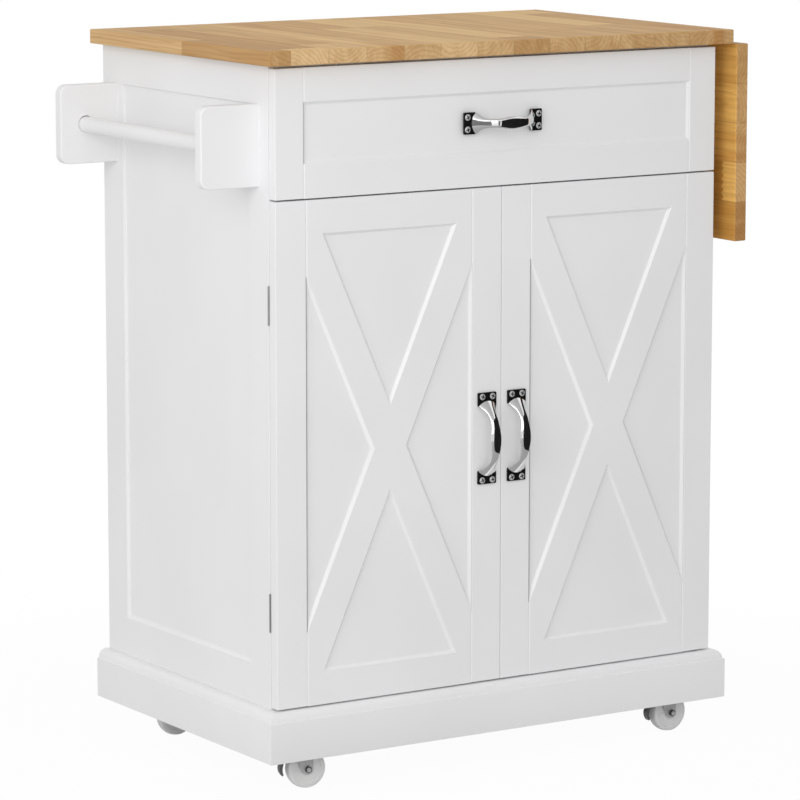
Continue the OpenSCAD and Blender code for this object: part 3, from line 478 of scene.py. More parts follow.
def block(low, high):
    """A plain box between two corners."""
    low, high = Vector(low), Vector(high)
    shape = bmesh.new()
    matrix = Matrix.LocRotScale((low + high) / 2, None, high - low)
    bmesh.ops.create_cube(shape, size=1, matrix=matrix)
    return shape


def eased_block(low, high, ease):
    shape = block(low, high)
    bevel(shape, shape.edges[:], ease)
    return shape


def disc(shape, radius, length, segments, matrix):
    """Adds a closed cylinder to a shape."""
    bmesh.ops.create_cone(shape, cap_ends=True, segments=segments, radius1=radius, radius2=radius,
                          depth=length, matrix=matrix)


def sharp_edges(shape, least=SHARP_ANGLE):
    return [edge for edge in shape.edges if edge.calc_face_angle(0) > least]


def lies_at(edge, axis, level):
    return all(abs(vert.co[axis] - level) < TOUCH for vert in edge.verts)


def span(edge, axis):
    """How far an edge reaches along an axis."""
    return abs((edge.verts[0].co - edge.verts[1].co)[axis])


def verts_in(items):
    return [item for item in items if isinstance(item, bmesh.types.BMVert)]


def edges_in(items):
    return [item for item in items if isinstance(item, bmesh.types.BMEdge)]


def faces_towards(shape, normal):
    """The faces that look along a direction, on the outermost plane."""
    normal = Vector(normal)
    facing = [face for face in shape.faces if face.normal.dot(normal) > FACES_ALONG]
    level = max(face.calc_center_median().dot(normal) for face in facing)
    return [face for face in facing
            if abs(face.calc_center_median().dot(normal) - level) < SAME_LEVEL]


def box_edges(shape, low, high):
    """The edges along the outline of a box, which are left sharp by what was cut in its faces."""
    planes = [(axis, corner[axis]) for axis in range(3) for corner in (low, high)]
    return [edge for edge in shape.edges if sum(lies_at(edge, *plane) for plane in planes) > 1]


def outwards(shape):
    bmesh.ops.recalc_face_normals(shape, faces=shape.faces)
    return shape


def extruded(shape, vector):
    """Draws the shape's flat outline out into a solid."""
    run = bmesh.ops.extrude_face_region(shape, geom=shape.faces[:])["geom"]
    bmesh.ops.translate(shape, vec=vector, verts=verts_in(run))
    return outwards(shape)


def closed(shape):
    """Fills the open ends and turns all faces outwards."""
    open_edges = [edge for edge in shape.edges if edge.is_boundary]
    bmesh.ops.holes_fill(shape, edges=open_edges, sides=0)
    return outwards(shape)


def placed(shape, matrix):
    bmesh.ops.transform(shape, matrix=matrix, verts=shape.verts)
    return shape


def moved(shape, place):
    bmesh.ops.translate(shape, vec=place, verts=shape.verts)
    return shape


def joined(shapes):
    """Several shapes as one."""
    whole = bmesh.new()
    for shape in shapes:
        mesh = bpy.data.meshes.new("part")
        shape.to_mesh(mesh)
        shape.free()
        whole.from_mesh(mesh)
        bpy.data.meshes.remove(mesh)
    return whole


def mirrored(shape):
    """The same shape on the other side of the cabinet's middle plane, faces outwards."""
    low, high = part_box("worktop")
    middle = Matrix.Translation(((low[0] + high[0]) / 2, 0, 0))
    placed(shape, middle @ Matrix.Scale(-1, 4, (1, 0, 0)) @ middle.inverted())
    bmesh.ops.reverse_faces(shape, faces=shape.faces)
    return shape


def in_scene(name, data):
    """A new object of the scene for a mesh, a lamp or the camera."""
    thing = bpy.data.objects.new(name, data)
    bpy.context.scene.collection.objects.link(thing)
    return thing


def object_from(name, shape):
    mesh = bpy.data.meshes.new(name)
    shape.to_mesh(mesh)
    shape.free()
    return in_scene(name, mesh)


def make(name, shape, body, finish, stands_for=(), recess_painted_shade=None):
    """Turns a shape into a finished piece that rides on a body."""
    piece = object_from(name, shape)
    mesh = piece.data
    mesh.materials.append(finish)
    # A second finish, black, is painted shade in recesses
    if recess_painted_shade:
        mesh.materials.append(recess_painted_shade)
    mesh.polygons.foreach_set("use_smooth", [True] * len(mesh.polygons))
    mesh.set_sharp_from_angle(angle=SMOOTH_ANGLE)
    piece.modifiers.new("level faces", "WEIGHTED_NORMAL").keep_sharp = True
    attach(piece, body)
    if stands_for:
        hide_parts(*stands_for)


# ------------------ boards

WOOD_EASE = 1.6 * MM
PAINT_EASE = 0.9 * MM
FIELD_DEPTH = 4 * MM
FIELD_SLOPE = 3.4 * MM
FIELD_COVE = 1.1 * MM
FIELD_EASE = 0.6 * MM
DOORS_MEET = 0.2 * MM
SIDE_FIELD_DEPTH = 4 * MM
SIDE_FIELD_SLOPE = 0.5 * MM
SIDE_FIELD_FOOT = 4 * MM
SIDE_FIELD_COVE = 0.6 * MM
JOINT_EASE = 1.2 * MM
DOOR_STILE = 43 * MM
DOOR_RAIL = 41 * MM
BRACE_W = 41.5 * MM
DRAWER_STILE = 40 * MM
DRAWER_RAIL = 41 * MM
SIDE_STILE_FRONT = 46 * MM
SIDE_STILE_REAR = 50 * MM
SIDE_RAIL = 49 * MM
FORWARD = (0, -1, 0)


def score(shape, faces, point, normal):
    """Cuts the given faces, and only them, along a plane."""
    geometry = set(faces)
    for face in faces:
        geometry.update(face.edges)
        geometry.update(face.verts)
    cut = bmesh.ops.bisect_plane(shape, geom=list(geometry), plane_co=point, plane_no=normal)
    return [item for item in cut["geom"] if isinstance(item, bmesh.types.BMFace)]


def sink_field(shape, face, slope=FIELD_SLOPE, depth=FIELD_DEPTH):
    """Sinks a face inside sloped walls."""
    bmesh.ops.inset_region(
        shape, faces=[face], thickness=slope, depth=-depth, use_boundary=True, use_even_offset=True
    )


def wall_edges(shape, normal, level, least_drop):
    """The edges at a level along a direction that bound sloped walls of some height."""
    found = []
    for edge in shape.edges:
        if any(abs(vert.co.dot(normal) - level) > TOUCH for vert in edge.verts):
            continue
        for face in edge.link_faces:
            heights = [vert.co.dot(normal) for vert in face.verts]
            if 0.05 < face.normal.dot(normal) < 0.95 and max(heights) - min(heights) > least_drop:
                found.append(edge)
                break
    return found


def soften(shape, normal, depth, cove):
    """Coves the foot of the sunk fields' walls and eases their rims."""
    normal = Vector(normal)
    level = max(vert.co.dot(normal) for vert in shape.verts)
    bevel(shape, wall_edges(shape, normal, level - depth, depth / 2), cove, 5)
    bevel(shape, wall_edges(shape, normal, level, depth / 2), FIELD_EASE, 2)


def wooden_board(name, node, body, finish):
    make(name, eased_block(*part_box(node), WOOD_EASE), body, finish, [node])


def painted(node, shape, finish, body="cabinet", ending="_board"):
    """A painted piece that stands for one node."""
    make(node + ending, shape, body, finish, [node])


def side_panel(side, finish):
    """A framed side with its sunk field on the outer face."""
    node = "side_panel_" + side
    low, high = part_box(node)
    outward = (1 if side == "right" else -1, 0, 0)
    front, rear = low[1] + SIDE_STILE_FRONT, high[1] - SIDE_STILE_REAR
    foot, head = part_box("plinth_front")[1][2] + SIDE_RAIL, high[2] - SIDE_RAIL
    shape = block(low, high)
    outer = faces_towards(shape, outward)
    for y in (front, rear):
        outer = score(shape, outer, (0, y, 0), (0, 1, 0))
    for z in (foot, head):
        outer = score(shape, outer, (0, 0, z), (0, 0, 1))
    middle = Vector((0, (front + rear) / 2, (foot + head) / 2))
    outer = faces_towards(shape, outward)
    sunk = min(outer, key=lambda face: (face.calc_center_median() - middle).yz.length)
    sink_field(shape, sunk, SIDE_FIELD_SLOPE, SIDE_FIELD_DEPTH)
    # The wall at the field's foot slopes more than the others
    for vert in sunk.verts:
        if vert.co[2] < middle[2]:
            vert.co[2] += SIDE_FIELD_FOOT
    soften(shape, outward, SIDE_FIELD_DEPTH, SIDE_FIELD_COVE)
    bevel(shape, box_edges(shape, low, high), PAINT_EASE)
    painted(node, shape, finish)


def stile(low, high, outer_side):
    """An upright board beside a door's or drawer's middle, with a finer ease where they meet."""
    shape = block(low, high)
    seam = low[0] if outer_side > 0 else high[0]
    inner = [edge for edge in shape.edges if lies_at(edge, 0, seam) and lies_at(edge, 1, low[1])]
    bevel(shape, inner, JOINT_EASE, 1)
    outer = [edge for edge in box_edges(shape, low, high)
             if not all(abs(vert.co[0] - seam) < JOINT_EASE * 1.5 for vert in edge.verts)]
    bevel(shape, outer, PAINT_EASE)
    return shape


def framed_middle(low, high, rail, sink):
    """The board between two stiles, whose fields are sunk by sink(shape)."""
    shape = block(low, high)
    front = faces_towards(shape, FORWARD)
    for z in (low[2] + rail, high[2] - rail):
        front = score(shape, front, (0, 0, z), (0, 0, 1))
    sink(shape)
    raised = {edge for face in faces_towards(shape, FORWARD) for edge in face.edges}
    beside_stile = [edge for edge in box_edges(shape, low, high)
                    if edge in raised and span(edge, 2) > TOUCH]
    bevel(shape, beside_stile, JOINT_EASE, 1)
    soften(shape, FORWARD, FIELD_DEPTH, FIELD_COVE)
    return shape


def fronts(node, stile_w, rail, sink):
    """A door or drawer front from its two stiles and its framed middle."""
    low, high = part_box(node)
    left = low[0] + stile_w
    right = high[0] - stile_w
    return joined([
        stile(low, (left, high[1], high[2]), -1),
        stile((right, low[1], low[2]), high, 1),
        framed_middle((left, low[1], low[2]), (right, high[1], high[2]), rail, sink),
    ])


def drawer_front(finish):
    low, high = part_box("drawer_front")

    def sink(shape):
        middle = (low[2] + high[2]) / 2
        front = faces_towards(shape, FORWARD)
        field = min(front, key=lambda face: abs(face.calc_center_median()[2] - middle))
        sink_field(shape, field)

    shape = fronts("drawer_front", DRAWER_STILE, DRAWER_RAIL, sink)
    painted("drawer_front", shape, finish, "drawer")


def sink_between_braces(shape, centre, half_w, half_h):
    """Sinks the four triangles that two crossed braces leave in a door's opening."""
    for lean in (-1, 1):
        across = Vector((half_h, 0, lean * half_w)).normalized()
        for edge in (-1, 1):
            opening = [face for face in faces_towards(shape, FORWARD)
                       if abs(face.calc_center_median()[2] - centre[2]) < half_h]
            score(shape, opening, centre + across * edge * BRACE_W / 2, across)
    clear = BRACE_W / 2 * math.hypot(half_w, half_h)
    for face in faces_towards(shape, FORWARD):
        place = face.calc_center_median() - centre
        side, up = abs(place[0]) * half_h, abs(place[2]) * half_w
        in_opening = abs(place[2]) < half_h and len(face.verts) < 5
        if in_opening and abs(side - up) > clear and side + up > clear:
            sink_field(shape, face)


def door(side, finish):
    """A door with two braces that cross in its frame, and four sunk triangles between them."""
    node = "door_" + side
    low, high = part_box(node)
    centre = Vector(((low[0] + high[0]) / 2, low[1], (low[2] + high[2]) / 2))
    half_w = (high[0] - low[0]) / 2 - DOOR_STILE
    half_h = (high[2] - low[2]) / 2 - DOOR_RAIL

    def sink(shape):
        sink_between_braces(shape, centre, half_w, half_h)

    shape = fronts(node, DOOR_STILE, DOOR_RAIL, sink)
    # The boards reach a little past the door's body where the two doors meet, for a fine joint
    free_edge = high[0] if side == "left" else low[0]
    for vert in shape.verts:
        if abs(vert.co[0] - free_edge) < PAINT_EASE * 1.1:
            vert.co[0] += DOORS_MEET if side == "left" else -DOORS_MEET
    painted(node, shape, finish, node)


# ------------------ plinth

LEDGE_BELOW_TOP = 11.4 * MM
LEDGE_STEP = 2.4 * MM
LEDGE_RISER = 1 * MM
PLINTH_EASE = 0.9 * MM
LONG_EDGE = 100 * MM


def moulding(thick, height, length):
    """A plinth board along +X, facing -Y, with its outer lower edge along the X axis."""
    ledge = height - LEDGE_BELOW_TOP
    outline = [(0, 0), (0, ledge), (LEDGE_STEP, ledge), (LEDGE_STEP, height),
               (thick, height), (thick, 0)]
    shape = bmesh.new()
    corners = [shape.verts.new((0, depth, up)) for depth, up in outline]
    shape.faces.new(corners)
    round_corner(shape, corners[3], LEDGE_BELOW_TOP - LEDGE_RISER, 10)
    return extruded(shape, (length, 0, 0))


def mitre(shape, point, normal):
    """Cuts away what lies beyond a plane and closes the cut."""
    everything = shape.verts[:] + shape.edges[:] + shape.faces[:]
    cut = bmesh.ops.bisect_plane(shape, geom=everything, plane_co=point, plane_no=normal,
                                 clear_outer=True)["geom_cut"]
    bmesh.ops.edgeloop_fill(shape, edges=edges_in(cut))


def ease_long_edges(shape):
    """Eases the edges that run along a moulding, where they are sharp."""
    long_edges = [edge for edge in sharp_edges(shape) if edge.calc_length() > LONG_EDGE]
    bevel(shape, long_edges, PLINTH_EASE, 2)


def plinth(finish):
    low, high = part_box("plinth_front")
    thick = high[1] - low[1]
    height = high[2] - low[2]
    front = moved(moulding(thick, height, high[0] - low[0]), low)
    ease_long_edges(front)
    mitre(front, (high[0], low[1], 0), (1, 1, 0))
    mitre(front, (low[0], low[1], 0), (-1, 1, 0))
    painted("plinth_front", front, finish)
    side_low, side_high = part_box("plinth_right")
    for node in ("plinth_right", "plinth_left"):
        side = moulding(thick, height, side_high[1] - side_low[1])
        turn = Matrix.Rotation(QUARTER_TURN, 3, "Z")
        bmesh.ops.rotate(side, cent=(0, 0, 0), matrix=turn, verts=side.verts)
        moved(side, (high[0], low[1], low[2]))
        ease_long_edges(side)
        mitre(side, (high[0], low[1], 0), (-1, -1, 0))
        outwards(side)
        if node == "plinth_left":
            mirrored(side)
        painted(node, side, finish)


# ------------------ towel rack

RACK_CORNER = 12 * MM
RACK_EASE = 2 * MM
SOCKET_R = 10.6 * MM
SOCKET_DEPTH = 9 * MM
SOCKET_OUT = 44.4 * MM
ROUND_SEGMENTS = 64
BAR_EASE = 0.8 * MM


def blind_socket(shape, face, place, inward):
    """Opens a face with a round mouth at a place and sinks it inward to a flat floor."""
    outline = face.edges[:]
    bmesh.ops.delete(shape, geom=[face], context="FACES_ONLY")
    matrix = Matrix.Translation(place) @ LAID_ALONG_Y
    ring = bmesh.ops.create_circle(shape, segments=ROUND_SEGMENTS, radius=SOCKET_R, matrix=matrix)
    mouth = list({edge for vert in ring["verts"] for edge in vert.link_edges})
    bmesh.ops.triangle_fill(shape, use_beauty=True, use_dissolve=False, edges=outline + mouth)
    inner = bmesh.ops.extrude_edge_only(shape, edges=mouth)["geom"]
    floor_verts = verts_in(inner)
    bmesh.ops.translate(shape, vec=(0, inward * SOCKET_DEPTH, 0), verts=floor_verts)
    floor_edges = [edge for edge in edges_in(inner)
                   if all(vert in floor_verts for vert in edge.verts)]
    bmesh.ops.edgeloop_fill(shape, edges=floor_edges)
    outwards(shape)


def towel_bracket(node, socket_side, finish):
    """A bracket with a blind socket for the bar in its face towards the other bracket."""
    low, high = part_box(node)
    shape = block(low, high)
    outer = [edge for edge in shape.edges if lies_at(edge, 0, low[0]) and span(edge, 1) > TOUCH]
    bevel(shape, outer, RACK_CORNER, 10)
    rims = [edge for edge in sharp_edges(shape)
            if any(vert.co[0] < high[0] - TOUCH for vert in edge.verts)]
    bevel(shape, rims, RACK_EASE, 4)
    face = max(faces_towards(shape, (0, socket_side, 0)), key=lambda item: item.calc_area())
    level = face.calc_center_median()[1]
    place = (high[0] - SOCKET_OUT, level, (low[2] + high[2]) / 2)
    blind_socket(shape, face, place, -socket_side)
    painted(node, shape, finish)


def towel_bar(finish):
    low, high = map(Vector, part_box("towel_bar"))
    place = Matrix.Translation((low + high) / 2) @ LAID_ALONG_Y
    shape = bmesh.new()
    disc(shape, (high[0] - low[0]) / 2, high[1] - low[1], ROUND_SEGMENTS, place)
    bevel(shape, sharp_edges(shape), BAR_EASE)
    painted("towel_bar", shape, finish, ending="_rod")


# ------------------ pulls

PULL_LENGTH = 115 * MM
FOOT_LENGTH = 17 * MM
FOOT_W = 27 * MM
FOOT_T = 2.4 * MM
FOOT_CORNER = 1.4 * MM
FOOT_EASE = 0.4 * MM
PULL_REACH = 25 * MM
BOW_HALF = 47 * MM
BOW_W = 15.8 * MM
WAIST_W = 11.5 * MM
WAIST_AT = 0.57
BOW_T = 5.8 * MM
BOW_UNDERSIDE = 0.55
BOW_ROUNDNESS = 0.65
TIP_FROM = 0.6
TIP_T = 1.6 * MM
TIP_BULGE = 6.4 * MM
TIP_LEVEL = 0.7
FLARE_POWER = 3.4
ARCH_POWER = 2.9
SCREW_FROM_END = 5 * MM
SCREW_SPAN = 15 * MM
SCREW_HEAD_R = 3.9 * MM
SCREW_HEAD_T = 1.6 * MM
SCREW_DOME = 0.62
CROSS_LINES = (-1, -0.72, -0.17, 0.17, 0.72, 1)
CROSS_ARM = 0.1
CROSS_REACH = 0.75
CROSS_DEPTH = 1.1 * MM


def bow_half_width(share):
    """Half the bow's width at a share of its half length: swelled, waisted, then flared."""
    step = share / WAIST_AT
    swell = (BOW_W - WAIST_W) * (1 + math.cos(math.pi * min(step, 1))) / 2
    flare = max(0, (step - 1) / (1 / WAIST_AT - 1)) ** FLARE_POWER
    return (WAIST_W + swell + (FOOT_W - WAIST_W) * flare) / 2


def bow_point(along, turn):
    """A point on the bow's skin; along and turn, which goes round it, run from -1 to 1."""
    share = abs(along)
    angle = turn * math.pi
    tip = max(0, (share - TIP_FROM) / (1 - TIP_FROM))
    thick = BOW_T + (TIP_T - BOW_T) * tip
    crown = math.cos(angle)
    lateral = math.copysign(abs(math.sin(angle)) ** BOW_ROUNDNESS, math.sin(angle))
    rise = thick / 2 * (crown if crown > 0 else BOW_UNDERSIDE * crown)
    low = FOOT_T + TIP_T / 3
    middle = low + (PULL_REACH - BOW_T / 2 - low) * (1 - share**ARCH_POWER)
    slope = math.atan(ARCH_POWER * share ** (ARCH_POWER - 1) * PULL_REACH / BOW_HALF)
    lean = math.copysign(slope * (1 - tip**2 * TIP_LEVEL), along)
    bulge = math.copysign(TIP_BULGE * tip**2 * (1 - lateral**2), along)
    x = along * (BOW_HALF - TIP_BULGE) + bulge + math.sin(lean) * rise
    return Vector((x, lateral * bow_half_width(share), middle + math.cos(lean) * rise))


def bow():
    """The bow, wrapped from a flat grid."""
    shape = bmesh.new()
    bmesh.ops.create_grid(shape, x_segments=64, y_segments=32, size=1)
    for vert in shape.verts:
        vert.co = bow_point(vert.co[0], vert.co[1])
    bmesh.ops.remove_doubles(shape, verts=shape.verts, dist=TOUCH)
    return closed(shape)


def foot(side):
    middle = side * (PULL_LENGTH - FOOT_LENGTH) / 2
    shape = block((middle - FOOT_LENGTH / 2, -FOOT_W / 2, 0),
                  (middle + FOOT_LENGTH / 2, FOOT_W / 2, FOOT_T))
    bevel(shape, [edge for edge in shape.edges if span(edge, 2) > TOUCH], FOOT_CORNER, 4)
    bevel(shape, [edge for edge in shape.edges if lies_at(edge, 2, FOOT_T)], FOOT_EASE, 2)
    return shape


def in_cross(place):
    """Whether a place on the screw's square grid is in one of the arms of its cross."""
    return min(abs(place[0]), abs(place[1])) < CROSS_ARM and place.length < CROSS_REACH


def on_head(x, y):
    """Where a place on the square grid goes on the screw's domed round head."""
    flat = Vector((x * math.sqrt(1 - y * y / 2), y * math.sqrt(1 - x * x / 2), 0)) * SCREW_HEAD_R
    dome = SCREW_HEAD_T * (1 - SCREW_DOME * (flat.length / SCREW_HEAD_R) ** 2)
    return flat + Vector((0, 0, dome))


def sink_cross(shape, cross):
    """Sinks the faces of the cross, which take the second finish: black, as painted shade in the
    recess.
    """
    sunk = bmesh.ops.extrude_face_region(shape, geom=cross)["geom"]
    bmesh.ops.delete(shape, geom=cross, context="FACES_ONLY")
    low = verts_in(sunk)
    bmesh.ops.translate(shape, vec=(0, 0, -CROSS_DEPTH), verts=low)
    for vert in low:
        for face in vert.link_faces:
            face.material_index = 1


def cross_head(place, turn):
    """A domed screw head with a cross recess, drawn on a square grid that is rounded to a disc."""
    shape = bmesh.new()
    cells = len(CROSS_LINES) - 1
    bmesh.ops.create_grid(shape, x_segments=cells, y_segments=cells, size=1)
    for vert in shape.verts:
        column, row = (round((vert.co[axis] + 1) / 2 * cells) for axis in (0, 1))
        vert.co = Vector((CROSS_LINES[column], CROSS_LINES[row], 0))
    cross = [face for face in shape.faces if in_cross(face.calc_center_median())]
    for vert in shape.verts:
        vert.co = on_head(vert.co[0], vert.co[1])
    rim = [edge for edge in shape.edges if edge.is_boundary]
    sink_cross(shape, cross)
    for vert in verts_in(bmesh.ops.extrude_edge_only(shape, edges=rim)["geom"]):
        vert.co[2] = 0
    closed(shape)
    return placed(shape, Matrix.Translation(place) @ Matrix.Rotation(turn, 4, "Z"))


def screw_heads():
    """Two screws in each foot, each with its cross at an angle of its own."""
    heads = []
    for side in (-1, 1):
        for row in (-1, 1):
            place = (side * (PULL_LENGTH / 2 - SCREW_FROM_END), row * SCREW_SPAN / 2, FOOT_T)
            heads.append(cross_head(place, 0.5 * side + 0.9 * row))
    return joined(heads)


def on_face(node, upright):
    """Where a pull drawn along X with Z outwards goes: onto the front, lying or standing."""
    low, high = map(Vector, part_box(node))
    middle = (low + high) / 2
    turn = LAID_ALONG_Y
    if upright:
        turn = turn @ Matrix.Rotation(QUARTER_TURN, 4, "Z")
    return Matrix.Translation((middle[0], high[1], middle[2])) @ turn


def pull(name, body, finishes):
    """A pull's bright bow, its black feet and its screws."""
    place = on_face(name, name != "drawer_pull")
    black = finishes["black_plate"]
    make(name + "_bow", placed(bow(), place), body, finishes["pull_metal"], [name])
    feet = joined([foot(-1), foot(1)])
    make(name + "_feet", placed(feet, place), body, black)
    # The screws' cross recesses take the feet's black as painted shade
    make(name + "_screw_heads", placed(screw_heads(), place), body, finishes["bright_screws"],
         [name + "_screws"], recess_painted_shade=black)


# ------------------ door hinges

HINGE_LENGTH = 47 * MM
HINGE_PIN_R = 0.75 * MM
FINIAL_R = 1.3 * MM
FINIAL_NECK = -0.7 * MM


def hinge_finials(finish):
    """The little balls at the ends of each door hinge's pin."""
    low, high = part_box("door_hinge_pins")
    y = (low[1] + high[1]) / 2
    ends = {low[2]: -1, low[2] + HINGE_LENGTH: 1, high[2] - HINGE_LENGTH: -1, high[2]: 1}
    balls = []
    for x in (low[0] + HINGE_PIN_R, high[0] - HINGE_PIN_R):
        for z, outward in ends.items():
            ball = bmesh.new()
            place = Matrix.Translation((x, y, z + outward * FINIAL_NECK))
            bmesh.ops.create_uvsphere(ball, u_segments=20, v_segments=12, radius=FINIAL_R,
                                      matrix=place)
            balls.append(ball)
    make("hinge_finials", joined(balls), "cabinet", finish)


# ------------------ casters

CASTER_TURN = math.radians(-10)
HUB_R = 9 * MM
HUB_SLOPE = 0.8 * MM
WEB_DISH = 0.7 * MM
WEB_EDGE = 2.4 * MM
RIM_EDGE = 1.6 * MM
RIM_W = 4.2 * MM
TYRE_EASE = 3.4 * MM
TYRE_SHOULDER = 0.3
TYRE_CROWN = 0.5 * MM
WHEEL_HALF_W = 7.5 * MM
BORE_GAP = 0.05 * MM
CASTER_TRAIL = 5 * MM
CROWN_R = 17 * MM
CROWN_LOW = 57.2 * MM
CROWN_TOP = 60.2 * MM
CROWN_EASE = 1 * MM
KINGPIN_R = 4 * MM
KINGPIN_TOP = 67.5 * MM
KINGPIN_EASE = 0.3 * MM
LEG_IN = 8.5 * MM
LEG_T = 2 * MM
LEG_FOOT_R = 7 * MM
LEG_HEAD_LOW = 0.4 * MM
LEG_EASE = 0.6 * MM
NUT_R = 4.4 * MM
NUT_T = 3.4 * MM
NUT_EASE = 0.4 * MM
NUT_ANGLE = 0.9
BOLT_R = 3 * MM
BOLT_TIP = 0.9 * MM
BOLT_EASE = 0.9 * MM
LEVER_PIN = (-10 * MM, 27 * MM)
LEVER_PIN_R = 1.5 * MM
LEVER_PIN_EASE = 0.2 * MM
LEVER_HALF_W = 4 * MM
LEVER_EASE = 0.8 * MM
LEVER_HUB_R = 3 * MM
LEVER_HUB_GAP = 0.3 * MM
LEVER_HUB_EASE = 0.4 * MM
# The lever's side view from the axle, in millimetres: x, z and the radius of each corner
LEVER_OUTLINE = (
    (-10, 29, 1), (-21, 27.4, 3), (-27, 20, 2), (-31.6, 12, 3), (-35.6, 3, 3), (-34, -3.4, 1.5),
    (-30.8, -8, 0.5), (-29.6, -6.6, 0.5), (-31, -1, 2), (-30.2, 5, 2), (-28, 12, 2),
    (-24.4, 19, 2), (-20.4, 24, 2), (-10, 25, 1),
)


def axle_of(corner, turn):
    """Where a caster drawn round its axle goes, and how it is turned."""
    low, high = map(Vector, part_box("wheel_" + corner))
    return Matrix.Translation((low + high) / 2) @ Matrix.Rotation(turn, 4, "Z")


def wheel(corner, turn, finish):
    """A wheel turned from one outline: crowned tread, rim, dished web and hub."""
    node = "wheel_" + corner
    low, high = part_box(node)
    radius = (high[2] - low[2]) / 2
    half = WHEEL_HALF_W
    shoulder = TYRE_EASE * TYRE_SHOULDER
    outline = [
        (BOLT_R + BORE_GAP, half), (HUB_R, half), (HUB_R + HUB_SLOPE, half - WEB_DISH),
        (radius - RIM_W - WEB_EDGE, half - WEB_DISH), (radius - RIM_W - RIM_EDGE, half),
        (radius - TYRE_EASE, half), (radius - shoulder, half - shoulder),
        (radius - TYRE_CROWN, half - TYRE_EASE), (radius, 0),
    ]
    outline += [(r, -y) for r, y in reversed(outline[:-1])]
    shape = bmesh.new()
    corners = [shape.verts.new((r, y, 0)) for r, y in outline]
    edges = [shape.edges.new(pair) for pair in zip(corners, corners[1:] + corners[:1])]
    bmesh.ops.spin(shape, geom=corners + edges, cent=(0, 0, 0), axis=(0, 1, 0), angle=2 * math.pi,
                   steps=96, use_merge=True, use_duplicate=False)
    bmesh.ops.remove_doubles(shape, verts=shape.verts, dist=TOUCH)
    tyre = placed(outwards(shape), axle_of(corner, turn))
    make(node + "_tyre", tyre, node, finish, [node])


def prism(outline, thick, ease):
    """An outline in the XZ plane with rounded corners, made thick along Y, with eased edges.

    Each corner of the outline is x, z and the radius that rounds it.
    """
    shape = bmesh.new()
    corners = [shape.verts.new((x, -thick / 2, z)) for x, z, radius in outline]
    shape.faces.new(corners)
    for corner, (x, z, radius) in zip(corners, outline):
        if radius:
            round_corner(shape, corner, radius, 6)
    extruded(shape, (0, thick, 0))
    bevel(shape, [edge for edge in sharp_edges(shape) if span(edge, 1) < TOUCH], ease, 2)
    return shape


def rod(radius, length, segments, ease):
    """A round or six-sided bar along Y from the origin's plane, with eased ends."""
    shape = bmesh.new()
    place = Matrix.Translation((0, length / 2, 0)) @ LAID_ALONG_Y
    disc(shape, radius, length, segments, place)
    bevel(shape, sharp_edges(shape, NUT_ANGLE), ease, 2)
    return shape


def centred_rod(radius, half_length, segments, ease, x=0, z=0):
    """A rod that reaches as far to both sides of the wheel's middle plane."""
    return moved(rod(radius, 2 * half_length, segments, ease), (x, -half_length, z))


def upright_disc(radius, low, high, ease):
    """A round plate or pin on the swivel's axis, between two heights above the axle."""
    shape = bmesh.new()
    disc(shape, radius, high - low, 48, Matrix.Translation((-CASTER_TRAIL, 0, (low + high) / 2)))
    bevel(shape, sharp_edges(shape), ease, 2)
    return shape


def fork_legs(low, high):
    """The fork's two legs, with their crown between two heights above the axle."""
    foot_r = LEG_FOOT_R
    front, rear = CROWN_R - 1 * MM - CASTER_TRAIL, 1 * MM - CROWN_R - CASTER_TRAIL
    head = high - LEG_HEAD_LOW
    outline = [
        (foot_r, -foot_r, foot_r * 0.98), (foot_r, low - foot_r, 6 * MM), (front, head, 0),
        (rear, head, 0), (rear, low, 2 * MM), (-foot_r * 1.7, foot_r * 1.2, 8 * MM),
        (-foot_r, -foot_r, foot_r * 0.98),
    ]
    out = LEG_IN + LEG_T / 2
    return [moved(prism(outline, LEG_T, LEG_EASE), (0, side * out, 0)) for side in (-1, 1)]


def fork(corner, turn, braked, finishes):
    """A pressed fork with its crown and pin, and the axle's bolt and nuts, drawn from the axle."""
    place = axle_of(corner, turn)
    axle_z = place.translation[2]
    low, high = CROWN_LOW - axle_z, CROWN_TOP - axle_z
    out = LEG_IN + LEG_T
    steel = fork_legs(low, high)
    steel.append(upright_disc(CROWN_R, low, high, CROWN_EASE))
    steel.append(upright_disc(KINGPIN_R, low, KINGPIN_TOP - axle_z, KINGPIN_EASE))
    steel.append(centred_rod(BOLT_R, out + NUT_T + BOLT_TIP, 32, BOLT_EASE))
    if braked:
        steel.append(centred_rod(LEVER_PIN_R, LEG_IN + LEG_T / 2, 24, LEVER_PIN_EASE, *LEVER_PIN))
    nuts = [moved(rod(NUT_R, NUT_T, 6, NUT_EASE), (0, y, 0)) for y in (-out - NUT_T, out)]
    body, node = "fork_" + corner, "caster_fork_" + corner
    make(node + "_pressed", placed(joined(steel), place), body, finishes["caster_steel"],
         [node])
    make("caster_nuts_" + corner, placed(joined(nuts), place), body, finishes["nut_painted_shade"])


def brake_lever(side, turn, finish):
    """A beaked lever that bends round the wheel, on a hub between the fork's legs."""
    outline = [(x * MM, z * MM, radius * MM) for x, z, radius in LEVER_OUTLINE]
    strap = prism(outline, 2 * LEVER_HALF_W, LEVER_EASE)
    hub = centred_rod(LEVER_HUB_R, LEG_IN - LEVER_HUB_GAP, 32, LEVER_HUB_EASE, *LEVER_PIN)
    shape = placed(joined([strap, hub]), axle_of("front_" + side, turn))
    node = "brake_lever_" + side
    make(node + "_strap", shape, "brake_" + side, finish, [node])


# ------------------ stage

